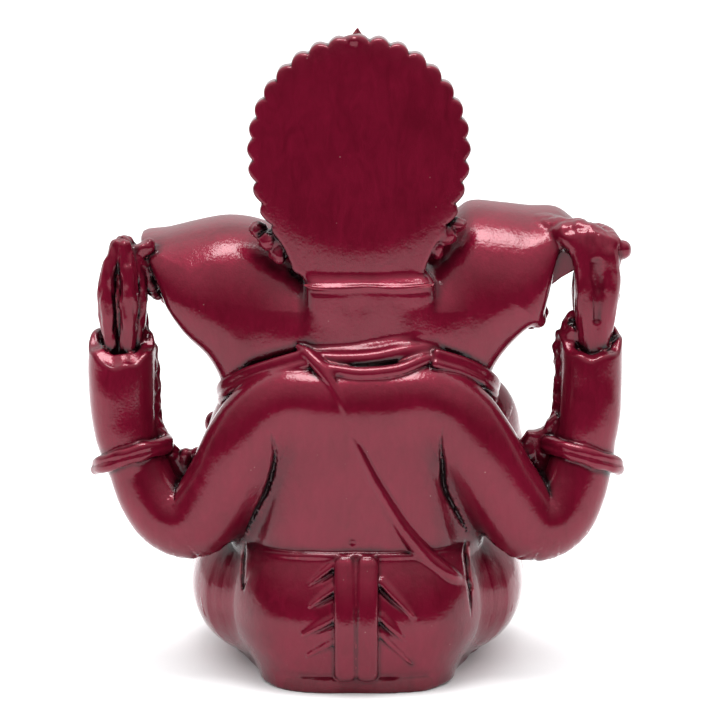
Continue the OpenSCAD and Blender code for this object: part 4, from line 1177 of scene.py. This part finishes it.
body_lacquer = lacquer("lacquer", (0.118, 0.0034, 0.0145, 1), (0.185, 0.0058, 0.025, 1), (0.45, 0.05, 0.08, 1), 1.0)
ornament_lacquer = lacquer("ornament_lacquer", (0.115, 0.0034, 0.0145, 1), (0.185, 0.0058, 0.025, 1),
                           (0.46, 0.07, 0.09, 1), 0.8)
base_lacquer = lacquer("base_lacquer", (0.08, 0.003, 0.01, 1), (0.16, 0.006, 0.02, 1), (0.4, 0.04, 0.06, 1), 1.3)

ornaments = ("earring", "necklace", "crown_band", "crown_dome", "crown_finial", "armlet", "bangle", "anklet",
             "noose", "axe", "modak", "tusk", "waist_band")
for node in parts:
    fine = any(word in node for word in ornaments)
    material = base_lacquer if node == "base_slab" else ornament_lacquer if fine else body_lacquer
    piece = build(node, material, shape_of(node))

# ---------------------------------------------------------------------------
# Floor, light and camera
# ---------------------------------------------------------------------------
floor_mesh = bpy.data.meshes.new("floor")
FLOOR = 1.6
floor_mesh.from_pydata([(-FLOOR, -FLOOR, 0), (FLOOR, -FLOOR, 0), (FLOOR, FLOOR, 0), (-FLOOR, FLOOR, 0)],
                       [], [(0, 1, 2, 3)])
floor = bpy.data.objects.new("floor", floor_mesh)
bpy.context.collection.objects.link(floor)
paper = Nodes("floor_paper")
grain = paper.noise(0.8, 2)
paper.put(paper.shader.inputs["Base Color"], paper.mix(grain, (0.86, 0.86, 0.87, 1), (0.9, 0.9, 0.905, 1)))
paper.put(paper.shader.inputs["Roughness"], paper.ramp(grain, 0, 1, 0.7, 0.8))
floor_mesh.materials.append(paper.material)

world = bpy.data.worlds.new("studio")
world.use_nodes = True
bpy.context.scene.world = world
w = world.node_tree
background = w.nodes["Background"]
way = w.nodes.new("ShaderNodeTexCoord").outputs["Generated"]
split = w.nodes.new("ShaderNodeSeparateXYZ")
w.links.new(way, split.inputs["Vector"])


def glow(axis, low, high, at_low, at_high):
    """Brightness that changes smoothly with one direction of the surroundings."""
    wall = w.nodes.new("ShaderNodeMapRange")
    wall.interpolation_type = "SMOOTHSTEP"
    w.links.new(split.outputs[axis], wall.inputs["Value"])
    for key, value in (("From Min", low), ("From Max", high), ("To Min", at_low), ("To Max", at_high)):
        wall.inputs[key].default_value = value
    return wall.outputs["Result"]


both_lit = w.nodes.new("ShaderNodeMath")
both_lit.operation = "ADD"
w.links.new(glow("Y", -0.35, 0.17, 0.8, 0.03), both_lit.inputs[0])
w.links.new(glow("Z", 0.2, 1.0, 0.0, 0.95), both_lit.inputs[1])
seen = w.nodes.new("ShaderNodeLightPath")
pick = w.nodes.new("ShaderNodeMix")
w.links.new(seen.outputs["Is Camera Ray"], pick.inputs["Factor"])
w.links.new(both_lit.outputs["Value"], pick.inputs["A"])
pick.inputs["B"].default_value = 1.05
w.links.new(pick.outputs["Result"], background.inputs["Strength"])
background.inputs["Color"].default_value = (1, 1, 1, 1)


def soft_light(name, spot, aim, width, depth, watts):
    lamp = bpy.data.lights.new(name, "AREA")
    lamp.shape = "RECTANGLE"
    lamp.size, lamp.size_y, lamp.energy = width, depth, watts
    made = bpy.data.objects.new(name, lamp)
    made.location = spot
    made.rotation_euler = (Vector(aim) - Vector(spot)).to_track_quat("-Z", "Y").to_euler()
    bpy.context.collection.objects.link(made)
    return made


fill = bpy.data.objects.new("fill", bpy.data.lights.new("fill", "SUN"))
fill.data.energy, fill.data.angle = 2.55, math.radians(150)
fill.visible_glossy = False
bpy.context.collection.objects.link(fill)
lights = [fill, soft_light("overhead", (0, 0.06, 0.7), (0, 0, 0.05), 0.3, 0.2, 2.4)]
bpy.context.scene.view_settings.view_transform = "Standard"

AZIMUTH, ELEVATION, DISTANCE = 180.0, 12.5, 0.66
LENS = 175.0
AIM = Vector((-0.0005, 0, 0.0560))
a, e = math.radians(AZIMUTH), math.radians(ELEVATION)
backward = Vector((math.sin(a) * math.cos(e), -math.cos(a) * math.cos(e), math.sin(e)))
camera = bpy.data.objects.new("camera", bpy.data.cameras.new("camera"))
camera.data.lens = LENS
camera.data.sensor_width = 36.0
camera.location = AIM + backward * DISTANCE
camera.rotation_euler = (-backward).to_track_quat("-Z", "Y").to_euler()
camera.data.clip_start, camera.data.clip_end = 0.01, 20
bpy.context.collection.objects.link(camera)
bpy.context.scene.camera = camera

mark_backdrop(floor, *lights)
low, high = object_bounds()
